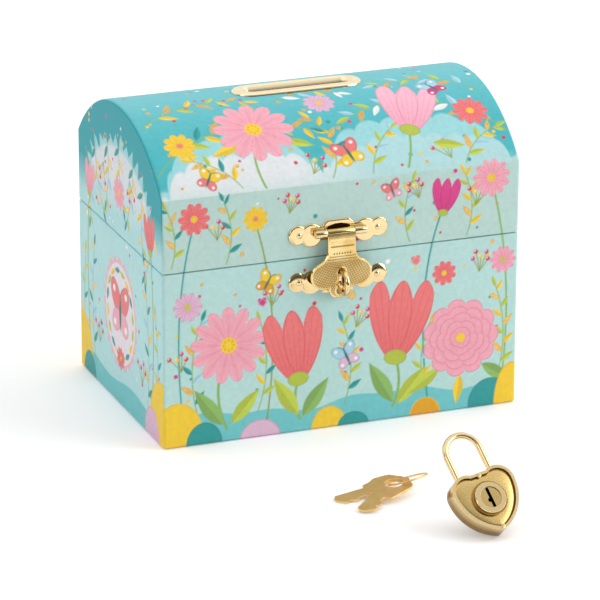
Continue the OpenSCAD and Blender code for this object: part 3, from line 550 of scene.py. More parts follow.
def front_design(u, v, spring):
    """Garden print of the front, drawn over case, lid wall and dome as one sheet."""
    p = Print(u, v, front_ground(u.ravel(), v.ravel(), spring))
    p.confetti((-77, 77, 18, 75), 46, 5, CONFETTI)
    p.confetti((-77, 77, 80, 108), 26, 6, CONFETTI)
    p.confetti((-77, 77, 112, 171), 80, 7, CONFETTI)
    each(
        p.stem,
        (((-52, 6), (-60, 24), (-51, 40)), 1.2, LEAF), (((-71, 8), (-77, 60), (-66, 98)), 0.7, TEAL),
        (((-34, 8), (-27, 56), (-39, 95)), 0.7, OLIVE), (((-19, 6), (-23, 14), (-20, 24)), 1.2, LEAF),
        (((23, 6), (28, 16), (24, 28)), 1.2, LEAF), (((39, 8), (32, 60), (45, 92)), 0.8, TEAL),
        (((73, 8), (79, 60), (67, 102)), 0.8, LEAF), (((30, 112), (34, 120), (36, 132)), 1.0, LEAF),
        (((-34, 110), (-38, 124), (-31, 136)), 1.0, LEAF),
    )
    each(
        p.sprig,
        (((-64, 10), (-71, 34), (-63, 55)), 9, 7.0, (TEAL, LIME, PALE_BLUE), 4),
        (((-38, 12), (-31, 32), (-37, 52)), 8, 6.5, (LIME, YELLOW, TEAL), 0),
        (((1, 10), (7, 28), (0, 47)), 9, 7.0, (TEAL, YELLOW, LIME), 4),
        (((38, 12), (33, 28), (40, 42)), 7, 6.0, (YELLOW, LIME, PALE_BLUE), 0),
        (((71, 12), (77, 34), (70, 54)), 9, 7.0, (LIME, TEAL, YELLOW), 3),
        (((-76, 80), (-72, 92), (-78, 105)), 6, 6.0, (LIME, YELLOW, TEAL), 3),
        (((-52, 79), (-47, 92), (-53, 106)), 7, 6.5, (TEAL, LIME, YELLOW), 4),
        (((30, 79), (25, 92), (31, 106)), 7, 6.0, (LIME, PALE_BLUE, TEAL), 4),
        (((56, 79), (61, 92), (55, 106)), 7, 6.5, (YELLOW, TEAL, LIME), 3),
        (((-79, 120), (-50, 153), (-6, 136)), 15, 9.5, MIXED_LEAVES, 4),
        (((79, 124), (50, 160), (12, 141)), 15, 9.5, (LIME, YELLOW, PALE_BLUE, WHITE), 4),
        (((-77, 148), (-52, 169), (-28, 161)), 9, 8.5, (YELLOW, PALE_BLUE, LIME), 3),
        (((76, 150), (58, 171), (32, 163)), 9, 8.5, (PALE_BLUE, YELLOW, LIME), 3),
        (((-4, 111), (5, 126), (-5, 143)), 8, 8.0, (YELLOW, LIME, TEAL), 3),
        (((14, 111), (17, 124), (28, 132)), 6, 7.0, (LIME, YELLOW, PALE_BLUE), 0),
        (((-44, 111), (-50, 122), (-62, 126)), 7, 7.5, (YELLOW, LIME, TEAL), 4),
        (((56, 111), (61, 122), (74, 127)), 7, 7.5, (LIME, YELLOW, PALE_BLUE), 4),
        (((-16, 158), (-2, 168), (14, 160)), 7, 8.0, (WHITE, YELLOW, PALE_BLUE), 2),
    )
    for x, y, turn, count, reach in (
        (-72, 34, 100, 4, 7), (-32, 58, 84, 5, 8), (6, 44, 70, 5, 8), (62, 62, 84, 5, 8),
        (-56, 90, 95, 4, 7), (-24, 98, 80, 5, 7), (34, 98, 110, 5, 7), (60, 92, 80, 4, 7),
        (-12, 114, 60, 4, 8), (50, 114, 110, 4, 8),
    ):
        p.berries(x, y, (RED, MAGENTA, YELLOW), reach, count, turn, 1.0)
    for x, y, length, turn, colour in (
        (-54, 8, 21, 126, LEAF), (-50, 8, 19, 48, LIME), (-20, 8, 21, 122, LIME), (-18, 7, 20, 54, LEAF),
        (23, 8, 22, 120, LEAF), (25, 7, 20, 50, LIME), (44, 20, 17, 214, LIME), (64, 20, 17, -34, LEAF),
        (54, 16, 13, 262, YELLOW), (-40, 132, 14, 200, YELLOW), (-20, 132, 13, -20, LIME),
        (44, 122, 14, -12, LIME),
    ):
        p.leaf(x, y, length, 0.33 * length, turn, colour)
    for x, y, r, petals, colour, line, heart in (
        (-51, 43, 17, 13, PINK, ROSE_LINE, YELLOW), (-69, 62, 6.5, 10, LILAC, MAGENTA, LIME),
        (46, 63, 5.5, 9, CORAL, CORAL_LINE, YELLOW), (73, 66, 6.0, 10, PINK, MAGENTA, LIME),
        (-66, 100, 7.0, 10, CORAL, CORAL_LINE, YELLOW), (-39, 97, 5.5, 9, YELLOW, AMBER, CORAL),
        (67, 103, 8.5, 11, PINK, ROSE_LINE, YELLOW), (-31, 140, 17.5, 12, PINK, ROSE_LINE, YELLOW),
        (66, 137, 8.0, 10, CORAL, CORAL_LINE, YELLOW), (-65, 135, 7.0, 9, YELLOW, AMBER, CORAL),
        (3, 153, 7.0, 10, LILAC, MAGENTA, YELLOW),
    ):
        p.daisy(x, y, r, petals, colour, line, heart, 7.0 * petals)
    each(
        p.tulip,
        (-20, 24, 31, 6, CORAL, CORAL_LINE), (24, 28, 34, -6, CORAL, CORAL_LINE),
        (45, 90, 15, -8, MAGENTA * 1.15, MAGENTA * 0.6), (36, 130, 30, -16, ink(248, 186, 206), ROSE_LINE),
    )
    p.rosette(54, 33, 17.5, PINK, ROSE_LINE, 5)
    each(
        p.butterfly,
        (2, 31, 8, 24, PALE_BLUE, LILAC), (-34, 68, 7, -28, YELLOW, AMBER),
        (6, 121, 9, 18, CORAL, YELLOW), (-58, 116, 7, -30, YELLOW, CORAL),
        (56, 155, 8, 26, PALE_BLUE, MAGENTA), (22, 102, 6, 20, CORAL, PINK),
    )
    each(
        p.small_heart,
        (-36, 60, 2.0, 8, MAGENTA), (33, 70, 2.2, 8, CORAL), (4, 58, 1.8, 8, GOLD_INK, 1),
    )
    each(
        p.hill,
        (-74, 3, 12, 17, YELLOW, AMBER), (-62, 0, 8, 10, TEAL, TEAL_LINE), (-37, 0, 9, 8, LILAC, ROSE_LINE),
        (-6, 0, 8, 10, YELLOW, AMBER), (5, 0, 7, 6, TEAL, TEAL_LINE), (38, 0, 7, 8, AMBER, YELLOW),
        (68, 2, 10, 11, TEAL, TEAL_LINE), (78, 1, 8, 18, YELLOW, AMBER),
    )
    return p


def back_design(u, v, spring):
    """Quieter garden print of the back, with the same grounds and smaller flowers."""
    p = Print(u, v, front_ground(u.ravel(), v.ravel(), spring))
    p.confetti((-76, 76, 20, 106), 70, 21, CONFETTI)
    p.confetti((-76, 76, spring + 4, spring + 62), 60, 22, CONFETTI)
    for k, (x, tall) in enumerate(((-66, 96), (-36, 62), (-8, 84), (20, 58), (50, 92), (70, 60))):
        sway = 5 if k % 2 else -6
        p.stem(((x, 8), (x + sway, tall * 0.6), (x + 3, tall)), 1.0, (LEAF, TEAL, OLIVE)[k % 3])
        p.sprig(((x, 16), (x + 6, tall * 0.4), (x + 9, tall * 0.62)), 5, 8, (LIME, TEAL, YELLOW), 3)
        if k % 2:
            p.daisy(x + 3, tall, 9, 11, PINK, ROSE_LINE, YELLOW, 7 * k)
        else:
            p.tulip(x + 3, tall - 2, 22, 4, CORAL, CORAL_LINE)
    p.sprig(((-62, spring - 6), (-20, spring + 34), (30, spring + 12)), 11, 12, MIXED_LEAVES, 4)
    p.sprig(((66, spring + 2), (40, spring + 40), (2, spring + 40)), 9, 11, (YELLOW, PALE_BLUE, LIME), 4)
    p.daisy(48, spring + 20, 14, 11, PINK, ROSE_LINE, YELLOW, 12)
    p.daisy(-50, spring + 26, 11, 10, CORAL, CORAL_LINE, YELLOW, 3)
    p.butterfly(-6, spring + 26, 10, 18, CORAL, YELLOW)
    each(
        p.hill,
        (-76, 10, 16, 18, YELLOW, AMBER), (-66, 2, 12, 12, TEAL, TEAL_LINE),
        (77, 11, 14, 20, YELLOW, AMBER), (64, 2, 11, 12, LILAC, ROSE_LINE),
    )
    return p


def end_ground(u, v, inset, seed):
    """Ground colours of an end: aqua, a deep border of blades along the arch with a pale glow below it."""
    sheet = AQUA + np.clip((v - 70) / 45, 0, 1)[:, None] * (CLOUD - AQUA)
    blades = 11 + 6 * np.abs(((np.arctan2(u, v - 63) * 16) % 2) - 1) + 4 * mottle(u, v, 5.0, seed)
    upper = np.clip((v - 84) / 16, 0, 1)
    sheet = over(sheet, soft((blades - inset) * 0.4) * upper, DEEP_TEAL)
    sheet = over(sheet, soft((inset - 19) * 0.25) * upper * 0.75, LILAC_WHITE)
    sheet = over(sheet, soft(11 + 1.5 * np.sin(u / 9.0) - v), GROUND)
    return paper_tone(sheet, u, v, seed, seed + 1)


def wreath(p, x, y):
    """Round picture of a butterfly: pink with a scalloped rim, pale inside, ringed with leaves."""
    near, a, b = p.spot(x, y, 28)
    far, angle = np.hypot(a, b * 0.86), np.arctan2(b, a)
    p.lay(near, soft(21 + 0.9 * np.cos(angle * 24) - far) * 0.92, PINK)
    p.lay(near, soft(19.3 - far) * 0.95, LILAC_WHITE)
    leaves = 16
    for k in range(leaves):
        t = 2 * PI * k / leaves
        at = (x + 17 * math.cos(t), y + 19.5 * math.sin(t))
        p.leaf(*at, 6.5, 2.6, math.degrees(t) + 100, (LIME, TEAL, YELLOW)[k % 3])
    p.butterfly(x, y, 17, 0, CORAL, PINK)
    p.daisy(x, y - 20, 5, 9, CORAL, CORAL_LINE, YELLOW)


def end_design(u, v, arch, seed):
    """Print of an end: hanging sprigs under the arch, flowers at the sides and a wreath on the case.

    u runs towards the front, v up; arch is the distance in from the arched edge.
    """
    p = Print(u, v, end_ground(u.ravel(), v.ravel(), arch.ravel(), seed))
    p.confetti((-52, 52, 16, 76), 40, seed, CONFETTI)
    p.confetti((-48, 48, 80, 126), 40, seed + 1, CONFETTI)
    hung = ((-44, 104), (-31, 112), (-16, 118), (2, 121), (18, 117), (33, 110), (46, 100))
    for k, (x, top) in enumerate(hung):
        lean = (-1) ** k * 4
        hang = ((x, top), (x * 0.92 + lean, top - 14), (x * 0.8 - lean, top - 30))
        p.sprig(hang, 6, 8, (TEAL, LIME, YELLOW, PALE_BLUE), 3)
    p.berries(-20, 104, (MAGENTA, RED, YELLOW), 8, 4, 250)
    p.berries(14, 106, (RED, MAGENTA, YELLOW), 8, 4, 280)
    p.tulip(40, 82, 16, 6, CORAL, CORAL_LINE)
    p.tulip(-40, 84, 15, -6, PINK, ROSE_LINE)
    p.daisy(0, 96, 7, 10, PINK, ROSE_LINE, YELLOW)
    for side in (-1, 1):
        p.stem(((side * 40, 6), (side * 46, 50), (side * 40, 84)), 0.9, LEAF)
        p.sprig(((side * 34, 8), (side * 40, 34), (side * 34, 62)), 8, 8, (TEAL, LIME, PALE_BLUE), 3)
        p.sprig(((side * 48, 12), (side * 50, 34), (side * 46, 56)), 6, 7, (LIME, YELLOW, TEAL), 4)
        p.berries(side * 28, 20, (RED, MAGENTA), 9, 4, 90)
    wreath(p, 0, 42)
    each(
        p.hill,
        (52, 9, 14, 20, YELLOW, AMBER), (40, 2, 9, 12, LILAC, ROSE_LINE),
        (-52, 9, 14, 18, YELLOW, AMBER), (-42, 1, 8, 10, TEAL, TEAL_LINE),
    )
    return p


# Finishes


class Wire:
    """A value socket of a finish; sums on it add Math nodes."""

    def __init__(self, bench, socket):
        self.bench = bench
        self.socket = socket

    def __add__(self, other):
        return self.bench.sum("ADD", self, other)

    __radd__ = __add__

    def __sub__(self, other):
        return self.bench.sum("SUBTRACT", self, other)

    def __rsub__(self, other):
        return self.bench.sum("SUBTRACT", other, self)

    def __mul__(self, other):
        return self.bench.sum("MULTIPLY", self, other)

    __rmul__ = __mul__

    def __truediv__(self, other):
        return self.bench.sum("DIVIDE", self, other)

    def __pow__(self, other):
        return self.bench.sum("POWER", self, other)


class Bench:
    """Node tree of one finish."""

    def __init__(self, name):
        self.material = bpy.data.materials.new(name)
        self.material.use_nodes = True
        self.tree = self.material.node_tree
        self.shader = next(n for n in self.tree.nodes if n.type == "BSDF_PRINCIPLED")

    @classmethod
    def around(cls, tree):
        """A bench on a node tree that is there already, such as the world's."""
        bench = cls.__new__(cls)
        bench.tree = tree
        return bench

    def node(self, kind, settings=None, inputs=None, out=0):
        """Adds a node: its settings first, then the values or wires of its sockets."""
        made = self.tree.nodes.new(kind)
        for key, value in (settings or {}).items():
            setattr(made, key, value)
        for key, value in (inputs or {}).items():
            self.join(made.inputs[key], value)
        return Wire(self, made.outputs[out])

    def join(self, socket, value):
        """Links a wire to a socket, or sets the socket's own value."""
        if isinstance(value, Wire):
            self.tree.links.new(value.socket, socket)
        elif hasattr(value, "__len__") and len(value) == 3 and socket.type == "RGBA":
            socket.default_value = (*[float(v) for v in value], 1.0)
        else:
            socket.default_value = value

    def sum(self, operation, a, b):
        """One step of arithmetic on two values or wires."""
        return self.node("ShaderNodeMath", {"operation": operation}, {0: a, 1: b})

    def place(self, scale=(1.0, 1.0, 1.0), turn=(0.0, 0.0, 0.0)):
        """Object coordinates, scaled and turned."""
        at = self.node("ShaderNodeTexCoord", out="Object")
        return self.node("ShaderNodeMapping", {}, {"Vector": at, "Scale": scale, "Rotation": turn})

    def own(self, name):
        """The share that the piece keeps on its points under a name."""
        return self.node("ShaderNodeAttribute", {"attribute_name": name}, out="Fac")

    def noise(self, scale, detail=2.0, rough=0.5, at=None):
        """Soft noise from 0 to 1, its grains a metre over scale wide."""
        inputs = {"Vector": at or self.place(), "Scale": scale, "Detail": detail, "Roughness": rough}
        return self.node("ShaderNodeTexNoise", {}, inputs)

    def tint(self, factor, first, second, mode="MIX"):
        """Mix of two colours by a factor."""
        settings = {"data_type": "RGBA", "blend_type": mode}
        return self.node("ShaderNodeMix", settings, {0: factor, 6: first, 7: second}, out=2)

    def clamp(self, value, low, high, to_low=0.0, to_high=1.0):
        """A value carried from one range to another and held inside it."""
        inputs = {0: value, 1: low, 2: high, 3: to_low, 4: to_high}
        return self.node("ShaderNodeMapRange", {"clamp": True}, inputs)

    def facing(self, vector, towards):
        """Length of a vector along a direction."""
        settings = {"operation": "DOT_PRODUCT"}
        return self.node("ShaderNodeVectorMath", settings, {0: vector, 1: towards}, out="Value")

    def rays(self, kind):
        """One for rays of a kind, nought for the rest."""
        return self.node("ShaderNodeLightPath", out=f"Is {kind} Ray")

    def seen(self):
        """One for rays from the camera, a mirror or clear glass, nought for the light on other things."""
        return self.clamp(self.rays("Camera") + self.rays("Glossy") + self.rays("Transmission"), 0.0, 1.0)

    def bump(self, height, strength, distance):
        """Surface roughened by a height."""
        return self.node("ShaderNodeBump", {}, {"Height": height, "Strength": strength, "Distance": distance})

    def finish(self, **sockets):
        """Sets or links the shader's sockets; underscores stand for spaces."""
        for key, value in sockets.items():
            self.join(self.shader.inputs[key.replace("_", " ")], value)
        return self.material


def printed_paper():
    """Coated art paper: print and foil from the sheet's own attributes, fine tooth and a thin gloss."""
    b = Bench("art_paper")
    colour = b.node("ShaderNodeAttribute", {"attribute_name": "print"}, out="Color")
    foil = b.own("foil")
    tooth = b.noise(2600.0, 3.0, 0.6)
    fibre = b.noise(420.0, 4.0, 0.65)
    # A faint fibre tone of the paper itself.
    tone_and_painted_shade = b.clamp(fibre, 0.35, 0.65, 0.955, 1.03)
    paper = b.tint(1.0, colour, b.node("ShaderNodeCombineColor", {}, {0: tone_and_painted_shade, 1: tone_and_painted_shade, 2: tone_and_painted_shade}), "MULTIPLY")
    gilt = b.tint(b.noise(900.0, 2.0), ink(236, 200, 118), ink(198, 152, 74))
    face = b.tint(foil, paper, gilt)
    grain = tooth * 0.6 + fibre * 0.4
    return b.finish(
        Base_Color=face,
        Metallic=foil * 0.95,
        Roughness=b.clamp(fibre, 0.3, 0.7, 0.40, 0.48) - foil * 0.20,
        Coat_Weight=0.06,
        Coat_Roughness=0.22,
        Specular_IOR_Level=0.1,
        Normal=b.bump(grain, 0.16, 0.0004),
    )


def brass(name, light, dark, rough, brushed=0.0, tarnish=0.25, with_painted_shade=False, dents=0.05, tone_and_painted_shade=None):
    """Plated brass: warm tone that deepens in patches, fine polishing lines and small dents in its gloss.

    With painted shade, the piece's own shade attribute darkens its hollows. With a second tone and two
    heights, the padlock takes that tone towards its back, below the first height and blending up to the
    second: painted shade down its sides, in its keyhole and at the foot of its collar.
    """
    b = Bench(name)
    cloud = b.noise(160.0, 4.0, 0.6)
    lines = b.noise(700.0, 3.0, 0.7, b.place((1.0, 9.0, 1.0), (0.3, 0.2, 0.5)))
    patch = b.clamp(cloud, 0.42, 0.75)
    tone = b.tint(patch * tarnish, light, dark)
    smooth = b.clamp(lines, 0.3, 0.7, rough * 0.8, rough * 1.35 + 0.02)
    # Painted shade: the shade attribute darkens windows, bores, throats and grooves towards dark brown.
    if with_painted_shade:
        hollow_shade = b.own("shade")
        tone = b.tint(hollow_shade, tone, ink(54, 30, 10))
        smooth = smooth + hollow_shade * 0.3
    # Painted shade on the padlock: a second tone below a height above its back.
    if tone_and_painted_shade:
        deep, low, high = tone_and_painted_shade
        out = b.facing(b.place(), LOCK_OUT) * 1000.0
        back = float(LOCK_AT @ LOCK_OUT)
        tone = b.tint(b.clamp(out, back + low, back + high), deep, tone)
    return b.finish(
        Base_Color=tone,
        Metallic=1.0,
        Roughness=smooth + patch * 0.05,
        Normal=b.bump(lines * (0.3 + brushed) + cloud * 0.7, dents + 0.10 * brushed, 0.0003),
    )


def stippled_brass():
    """Stamped leaf: matt field inside a plain bright border, with painted shade in its hollows, from the
    leaf's own grain and shade.
    """
    b = Bench("stippled_brass")
    field = b.own("grain")
    hollow_shade = b.own("shade")
    sand = b.noise(2600.0, 2.0)
    cloud = b.noise(140.0, 3.0)
    light = b.tint(b.clamp(cloud, 0.35, 0.7), ink(240, 214, 152), ink(222, 188, 118))
    # Painted shade: the shade attribute darkens the leaf's grooves, pits and the gaps between studs.
    tone = b.tint(hollow_shade * (0.55 + sand * 0.4), light, ink(96, 66, 26))
    return b.finish(
        Base_Color=tone,
        Metallic=1.0,
        Roughness=0.15 + field * 0.13 + field * sand * 0.12,
        Normal=b.bump(sand * field, 0.25, 0.0003),
    )


def board(name, light, dark):
    """Grey board with short fibres and specks."""
    b = Bench(name)
    fibre = b.noise(520.0, 5.0, 0.7, b.place((1.0, 1.0, 3.0)))
    speck = b.node("ShaderNodeTexVoronoi", {"feature": "F1"}, {"Vector": b.place(), "Scale": 700.0}, out=0)
    tone = b.tint(b.clamp(fibre, 0.35, 0.65), light, dark)
    face = b.tint(b.clamp(speck, 0.02, 0.12, 0.35, 0.0), tone, np.asarray(dark) * 0.6)
    return b.finish(
        Base_Color=face,
        Roughness=b.clamp(fibre, 0.3, 0.7, 0.78, 0.92),
        Normal=b.bump(fibre, 0.35, 0.0006),
    )


def lining_paper():
    """Pale pink lining with a small sprig of dots in rows and a soft tooth."""
    b = Bench("dotted_lining")
    at = b.place()
    x, y, z = (b.node("ShaderNodeSeparateXYZ", {}, {0: at}, out=axis) for axis in "XYZ")
    pitch = 0.0085
    across = b.sum("PINGPONG", (x + y) / pitch, 0.5)
    up = b.sum("PINGPONG", (z + y - x) / pitch, 0.5)
    away = (across * across + up * up) ** 0.5
    dot = b.clamp(away, 0.13, 0.16, 1.0, 0.0)
    fibre = b.noise(600.0, 4.0, 0.6)
    base = b.tint(b.clamp(fibre, 0.3, 0.7), ink(244, 214, 222), ink(236, 200, 210))
    face = b.tint(dot * 0.8, base, ink(250, 244, 244))
    return b.finish(
        Base_Color=face,
        Roughness=b.clamp(fibre, 0.3, 0.7, 0.6, 0.74),
        Normal=b.bump(fibre, 0.15, 0.0004),
    )


def spring_steel():
    """Bright spring wire with drawn lines."""
    b = Bench("spring_steel")
    lines = b.noise(900.0, 3.0, 0.6)
    return b.finish(
        Base_Color=b.tint(lines, ink(176, 178, 182), ink(132, 134, 140)),
        Metallic=1.0,
        Roughness=b.clamp(lines, 0.3, 0.7, 0.26, 0.4),
        Normal=b.bump(lines, 0.08, 0.0002),
    )


def dress(material, *nodes, soften=0.0, segments=3):
    """Gives CAD nodes a finish; with soften in millimetres their edges are rounded by modifiers."""
    for name in nodes:
        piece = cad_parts[name]
        piece.data.materials.clear()
        piece.data.materials.append(material)
        if soften:
            weld = piece.modifiers.new("joined", "WELD")
            weld.merge_threshold = 2 * TOUCHING
            flat = piece.modifiers.new("flat_faces", "DECIMATE")
            flat.decimate_type = "DISSOLVE"
            flat.angle_limit = math.radians(1.0)
            edge = piece.modifiers.new("soft_edges", "BEVEL")
            edge.width = soften / 1000.0
            edge.segments = segments
            edge.limit_method = "ANGLE"
            edge.angle_limit = math.radians(35)
            edge.harden_normals = True


# Printed papers


def wall_sheet(half_along, half_across, corner, inset, height, steps):
    """Wall of a box between two corner mitres.

    Each row has an inset from the outline and a height; along the row, an eighth of a round at each
    corner of radius corner less inset and a straight run between. Returns along, outward and height.
    """
    d, z = (np.asarray(v, dtype=float)[:, None] for v in (inset, height))
    reach, round_r = np.maximum(d, corner), np.maximum(corner - d, 0.0)
    turn = EIGHTH[:-1]
    run = np.linspace(-1, 1, steps)
    left = -(half_along - reach) - round_r * np.sin(turn)
    straight = (half_along - reach) * run
    along = np.concatenate((left, straight, -left[:, ::-1]), axis=1)
    bulge = (half_across - reach) + round_r * np.cos(turn)
    flat = np.broadcast_to(half_across - reach + round_r, straight.shape)
    outward = np.concatenate((bulge, flat, bulge[:, ::-1]), axis=1)
    return along, outward, np.broadcast_to(z, along.shape)


def stand(along, outward, height, side):
    """Turns along and outward into X and Y for a wall at the front, back, left or right."""
    x, y = {
        "front": (along, -outward),
        "back": (-along, outward),
        "left": (-outward, -along),
        "right": (outward, -along),
    }[side]
    return np.stack((x, y, height), axis=-1)


def case_profile(step):
    """Inset and height up a case wall: turned-in foot, round, straight run, round and turned-in rim."""
    low, high = CASE_LOW[2], CASE_HIGH[2]
    straight = np.linspace(low + FOOT_R, high - RIM_R, int((high - low) / step))[1:-1]
    inset = np.concatenate((
        [FOOT_IN], FOOT_R * (1 - np.sin(QUARTER)), np.zeros(len(straight)), RIM_R * (1 - np.cos(QUARTER)),
        [RIM_IN, RIM_IN]))
    height = np.concatenate((
        [low], low + FOOT_R * (1 - np.cos(QUARTER)), straight, high - RIM_R * (1 - np.sin(QUARTER)),
        [high, high - FOLD]))
    return inset, height


def paper_sizes():
    """Round of the upright corners and height of the crease."""
    look = bpy.context.scene.keepsake_paper
    return look.corner_radius * 1000.0, LID_HIGH[2] - look.dome_rise * 1000.0


def dome_circle():
    """Height of the dome's centre line and its radius, from its rise over the box's depth."""
    rise = bpy.context.scene.keepsake_paper.dome_rise * 1000.0
    radius = (HALF_D ** 2 + rise ** 2) / (2 * rise)
    return LID_HIGH[2] - radius, radius


def lid_section(step):
    """Half of the lid's section above its wall: a fillet at the crease and the dome up to its top.

    Returns depth, height and the outward direction at each point, from the wall to the top.
    """
    centre, radius = dome_circle()
    crease = bpy.context.scene.keepsake_paper.crease_radius * 1000.0
    fillet_z = centre + math.sqrt((radius - crease) ** 2 - (HALF_D - crease) ** 2)
    lean = math.atan2(HALF_D - crease, fillet_z - centre)
    bend_angle = np.linspace(PI / 2, lean, 9)[:-1]
    dome_angle = np.linspace(lean, 0, int(radius * lean / step))
    depth = np.concatenate((HALF_D - crease + crease * np.sin(bend_angle), radius * np.sin(dome_angle)))
    height = np.concatenate((fillet_z + crease * np.cos(bend_angle), centre + radius * np.cos(dome_angle)))
    angle = np.concatenate((bend_angle, dome_angle))
    return depth, height, np.sin(angle), np.cos(angle)


def lid_wall(half_along, half_across, corner, step):
    """Sheet of a lid wall: turned-in foot, round and straight run up to the crease."""
    low, high = LID_LOW[2], lid_section(step)[1][0]
    straight = np.linspace(low + RIM_R, high, int((high - low) / step))[1:-1]
    inset = np.concatenate(([RIM_IN, RIM_IN], RIM_R * (1 - np.sin(QUARTER)), np.zeros(len(straight) + 1)))
    height = np.concatenate(([low + FOLD, low], low + RIM_R * (1 - np.cos(QUARTER)), straight, [high]))
    return wall_sheet(half_along, half_across, corner, inset, height, int(2 * half_along / step))


def dome_sheet(side, corner, step):
    """Half of the dome's sheet from the crease to the top, rounded down at both ends.

    Returns the grid, and for its print the way across and the height with the dome rolled out flat.
    """
    depth, height, out_y, out_z = lid_section(step)
    turn = EIGHTH[:-1]
    run = np.linspace(-1, 1, int(2 * HALF_W / step)) * (HALF_W - corner)
    left, fall = -(HALF_W - corner) - corner * np.sin(turn), corner * (1 - np.cos(turn))
    sink = np.concatenate((fall, np.zeros(len(run)), fall[::-1]))
    y = depth[:, None] - out_y[:, None] * sink
    z = height[:, None] - out_z[:, None] * sink
    x = np.broadcast_to(np.concatenate((left, run, -left[::-1])), y.shape)
    rolled = np.broadcast_to((height[0] + way_along(depth, height))[:, None], y.shape)
    sign = -1.0 if side == "front" else 1.0
    return np.stack((-sign * x, sign * y, z), axis=-1), x, rolled


def arch_sheet(corner, step):
    """Arched sheet of an end above its wall: a rounded edge along the dome and flat rows below it.

    Returns outward, depth and height.
    """
    depth, height, out_y, out_z = lid_section(step)
    turn = EIGHTH[:, None]
    sink, lift = corner * (1 - np.sin(turn)), corner * (1 - np.cos(turn))
    y = mirrored(depth, -1.0) - mirrored(out_y, -1.0) * sink
    z = mirrored(height) - mirrored(out_z) * sink
    x = np.broadcast_to(HALF_W - lift, y.shape)
    share = np.linspace(1, 0, int((LID_HIGH[2] - height[0]) / step))[1:, None]
    flat_z = height[0] + share * (z[-1] - height[0])
    flat_y = np.broadcast_to(y[-1], flat_z.shape)
    flat_x = np.full(flat_z.shape, HALF_W)
    return np.concatenate((x, flat_x)), np.concatenate((y, flat_y)), np.concatenate((z, flat_z))


def in_coin_slot(x, y):
    """True under the brass frame, well inside its flange."""
    return np.hypot(np.maximum(np.abs(x) - SLOT_STRAIGHT, 0.0), y) < SLOT_HALF + UNDER_FLANGE


# Brass pieces


def coin_slot_grid():
    """Frame of the coin slot: a rounded rail carried round the slot and bent over the dome.

    The profile runs up the sleeve, out over a slanting throat, over the crest, down a quarter of an
    oval and back under to the sleeve's foot; each point is set out from the slot's edge and raised
    above the dome along its radius.
    """
    centre, radius = dome_circle()
    fall = np.linspace(0, PI / 2, 15)
    crest, crest_up, foot_up = 2.5, 1.35, 0.05
    out = np.concatenate((
        [0.0, 0.0, 0.05, 0.2, 0.9, 1.6, 1.9, 2.15], crest + (SLOT_FLANGE - crest) * np.sin(fall),
        [SLOT_FLANGE, SLEEVE_WALL, SLEEVE_WALL, 0.0]))
    up = np.concatenate((
        [-SLEEVE_DEEP, -1.5, -1.2, -0.9, -0.02, 0.86, 1.16, 1.34], foot_up + crest_up * np.cos(fall),
        [0.0, 0.0, -SLEEVE_DEEP, -SLEEVE_DEEP]))
    turn = np.linspace(-PI / 2, PI / 2, 33)
    run = np.linspace(0, 1, 25)[1:-1]
    level, ends = np.zeros(len(run)), np.ones(len(turn))
    edge_x = np.concatenate((np.cos(turn), level, -np.cos(turn), level, [0.0]))
    edge_y = np.concatenate((np.sin(turn), level + 1, -np.sin(turn), level - 1, [-1.0]))
    base_x = SLOT_STRAIGHT * np.concatenate((ends, 1 - 2 * run, -ends, 2 * run - 1, [1.0]))
    x = base_x + edge_x * (SLOT_HALF + out[:, None] * SLOT_END_FLANGE / SLOT_FLANGE)
    y = edge_y * (SLOT_HALF + out[:, None])
    z = centre + np.sqrt((radius + up[:, None]) ** 2 - y ** 2)
    # Painted shade down the throat inside the sleeve, returned as the frame's shade attribute
    throat = np.clip((-0.3 - up) / 0.8, 0, 1) * (out < 1)
    return np.stack((x, y, z), axis=-1), np.broadcast_to(throat[:, None], x.shape)


def plate_edges(x, hang):
    """Lowest and highest edge of a hasp plate at x: the furthest of its end lobes, shoulders, bar and block.

    The block hangs below the middle line by hang, and its upper corners are cut.
    """
    away = np.abs(x)
    cut = 1.9
    lows, highs = [], []
    for mid, level, r in ((PLATE_W / 2 - LOBE, 0.0, LOBE), (0.27 * PLATE_W, -0.6, 1.2 * LOBE)):
        rise = np.sqrt(np.maximum(r * r - (away - mid) ** 2, 0.0))
        on = np.abs(away - mid) <= r
        lows.append(np.where(on, level - rise, np.inf))
        highs.append(np.where(on, level + rise, -np.inf))
    roof = BLOCK_TALL - BLOCK_EASE - np.maximum(away - BLOCK_HALF + cut, 0.0)
    for half, low, high in ((PLATE_W / 2 - LOBE, -BAR_HALF, BAR_HALF), (BLOCK_HALF, -hang, roof)):
        lows.append(np.where(away <= half, low, np.inf))
        highs.append(np.where(away <= half, high, -np.inf))
    return np.min(lows, axis=0), np.max(highs, axis=0)


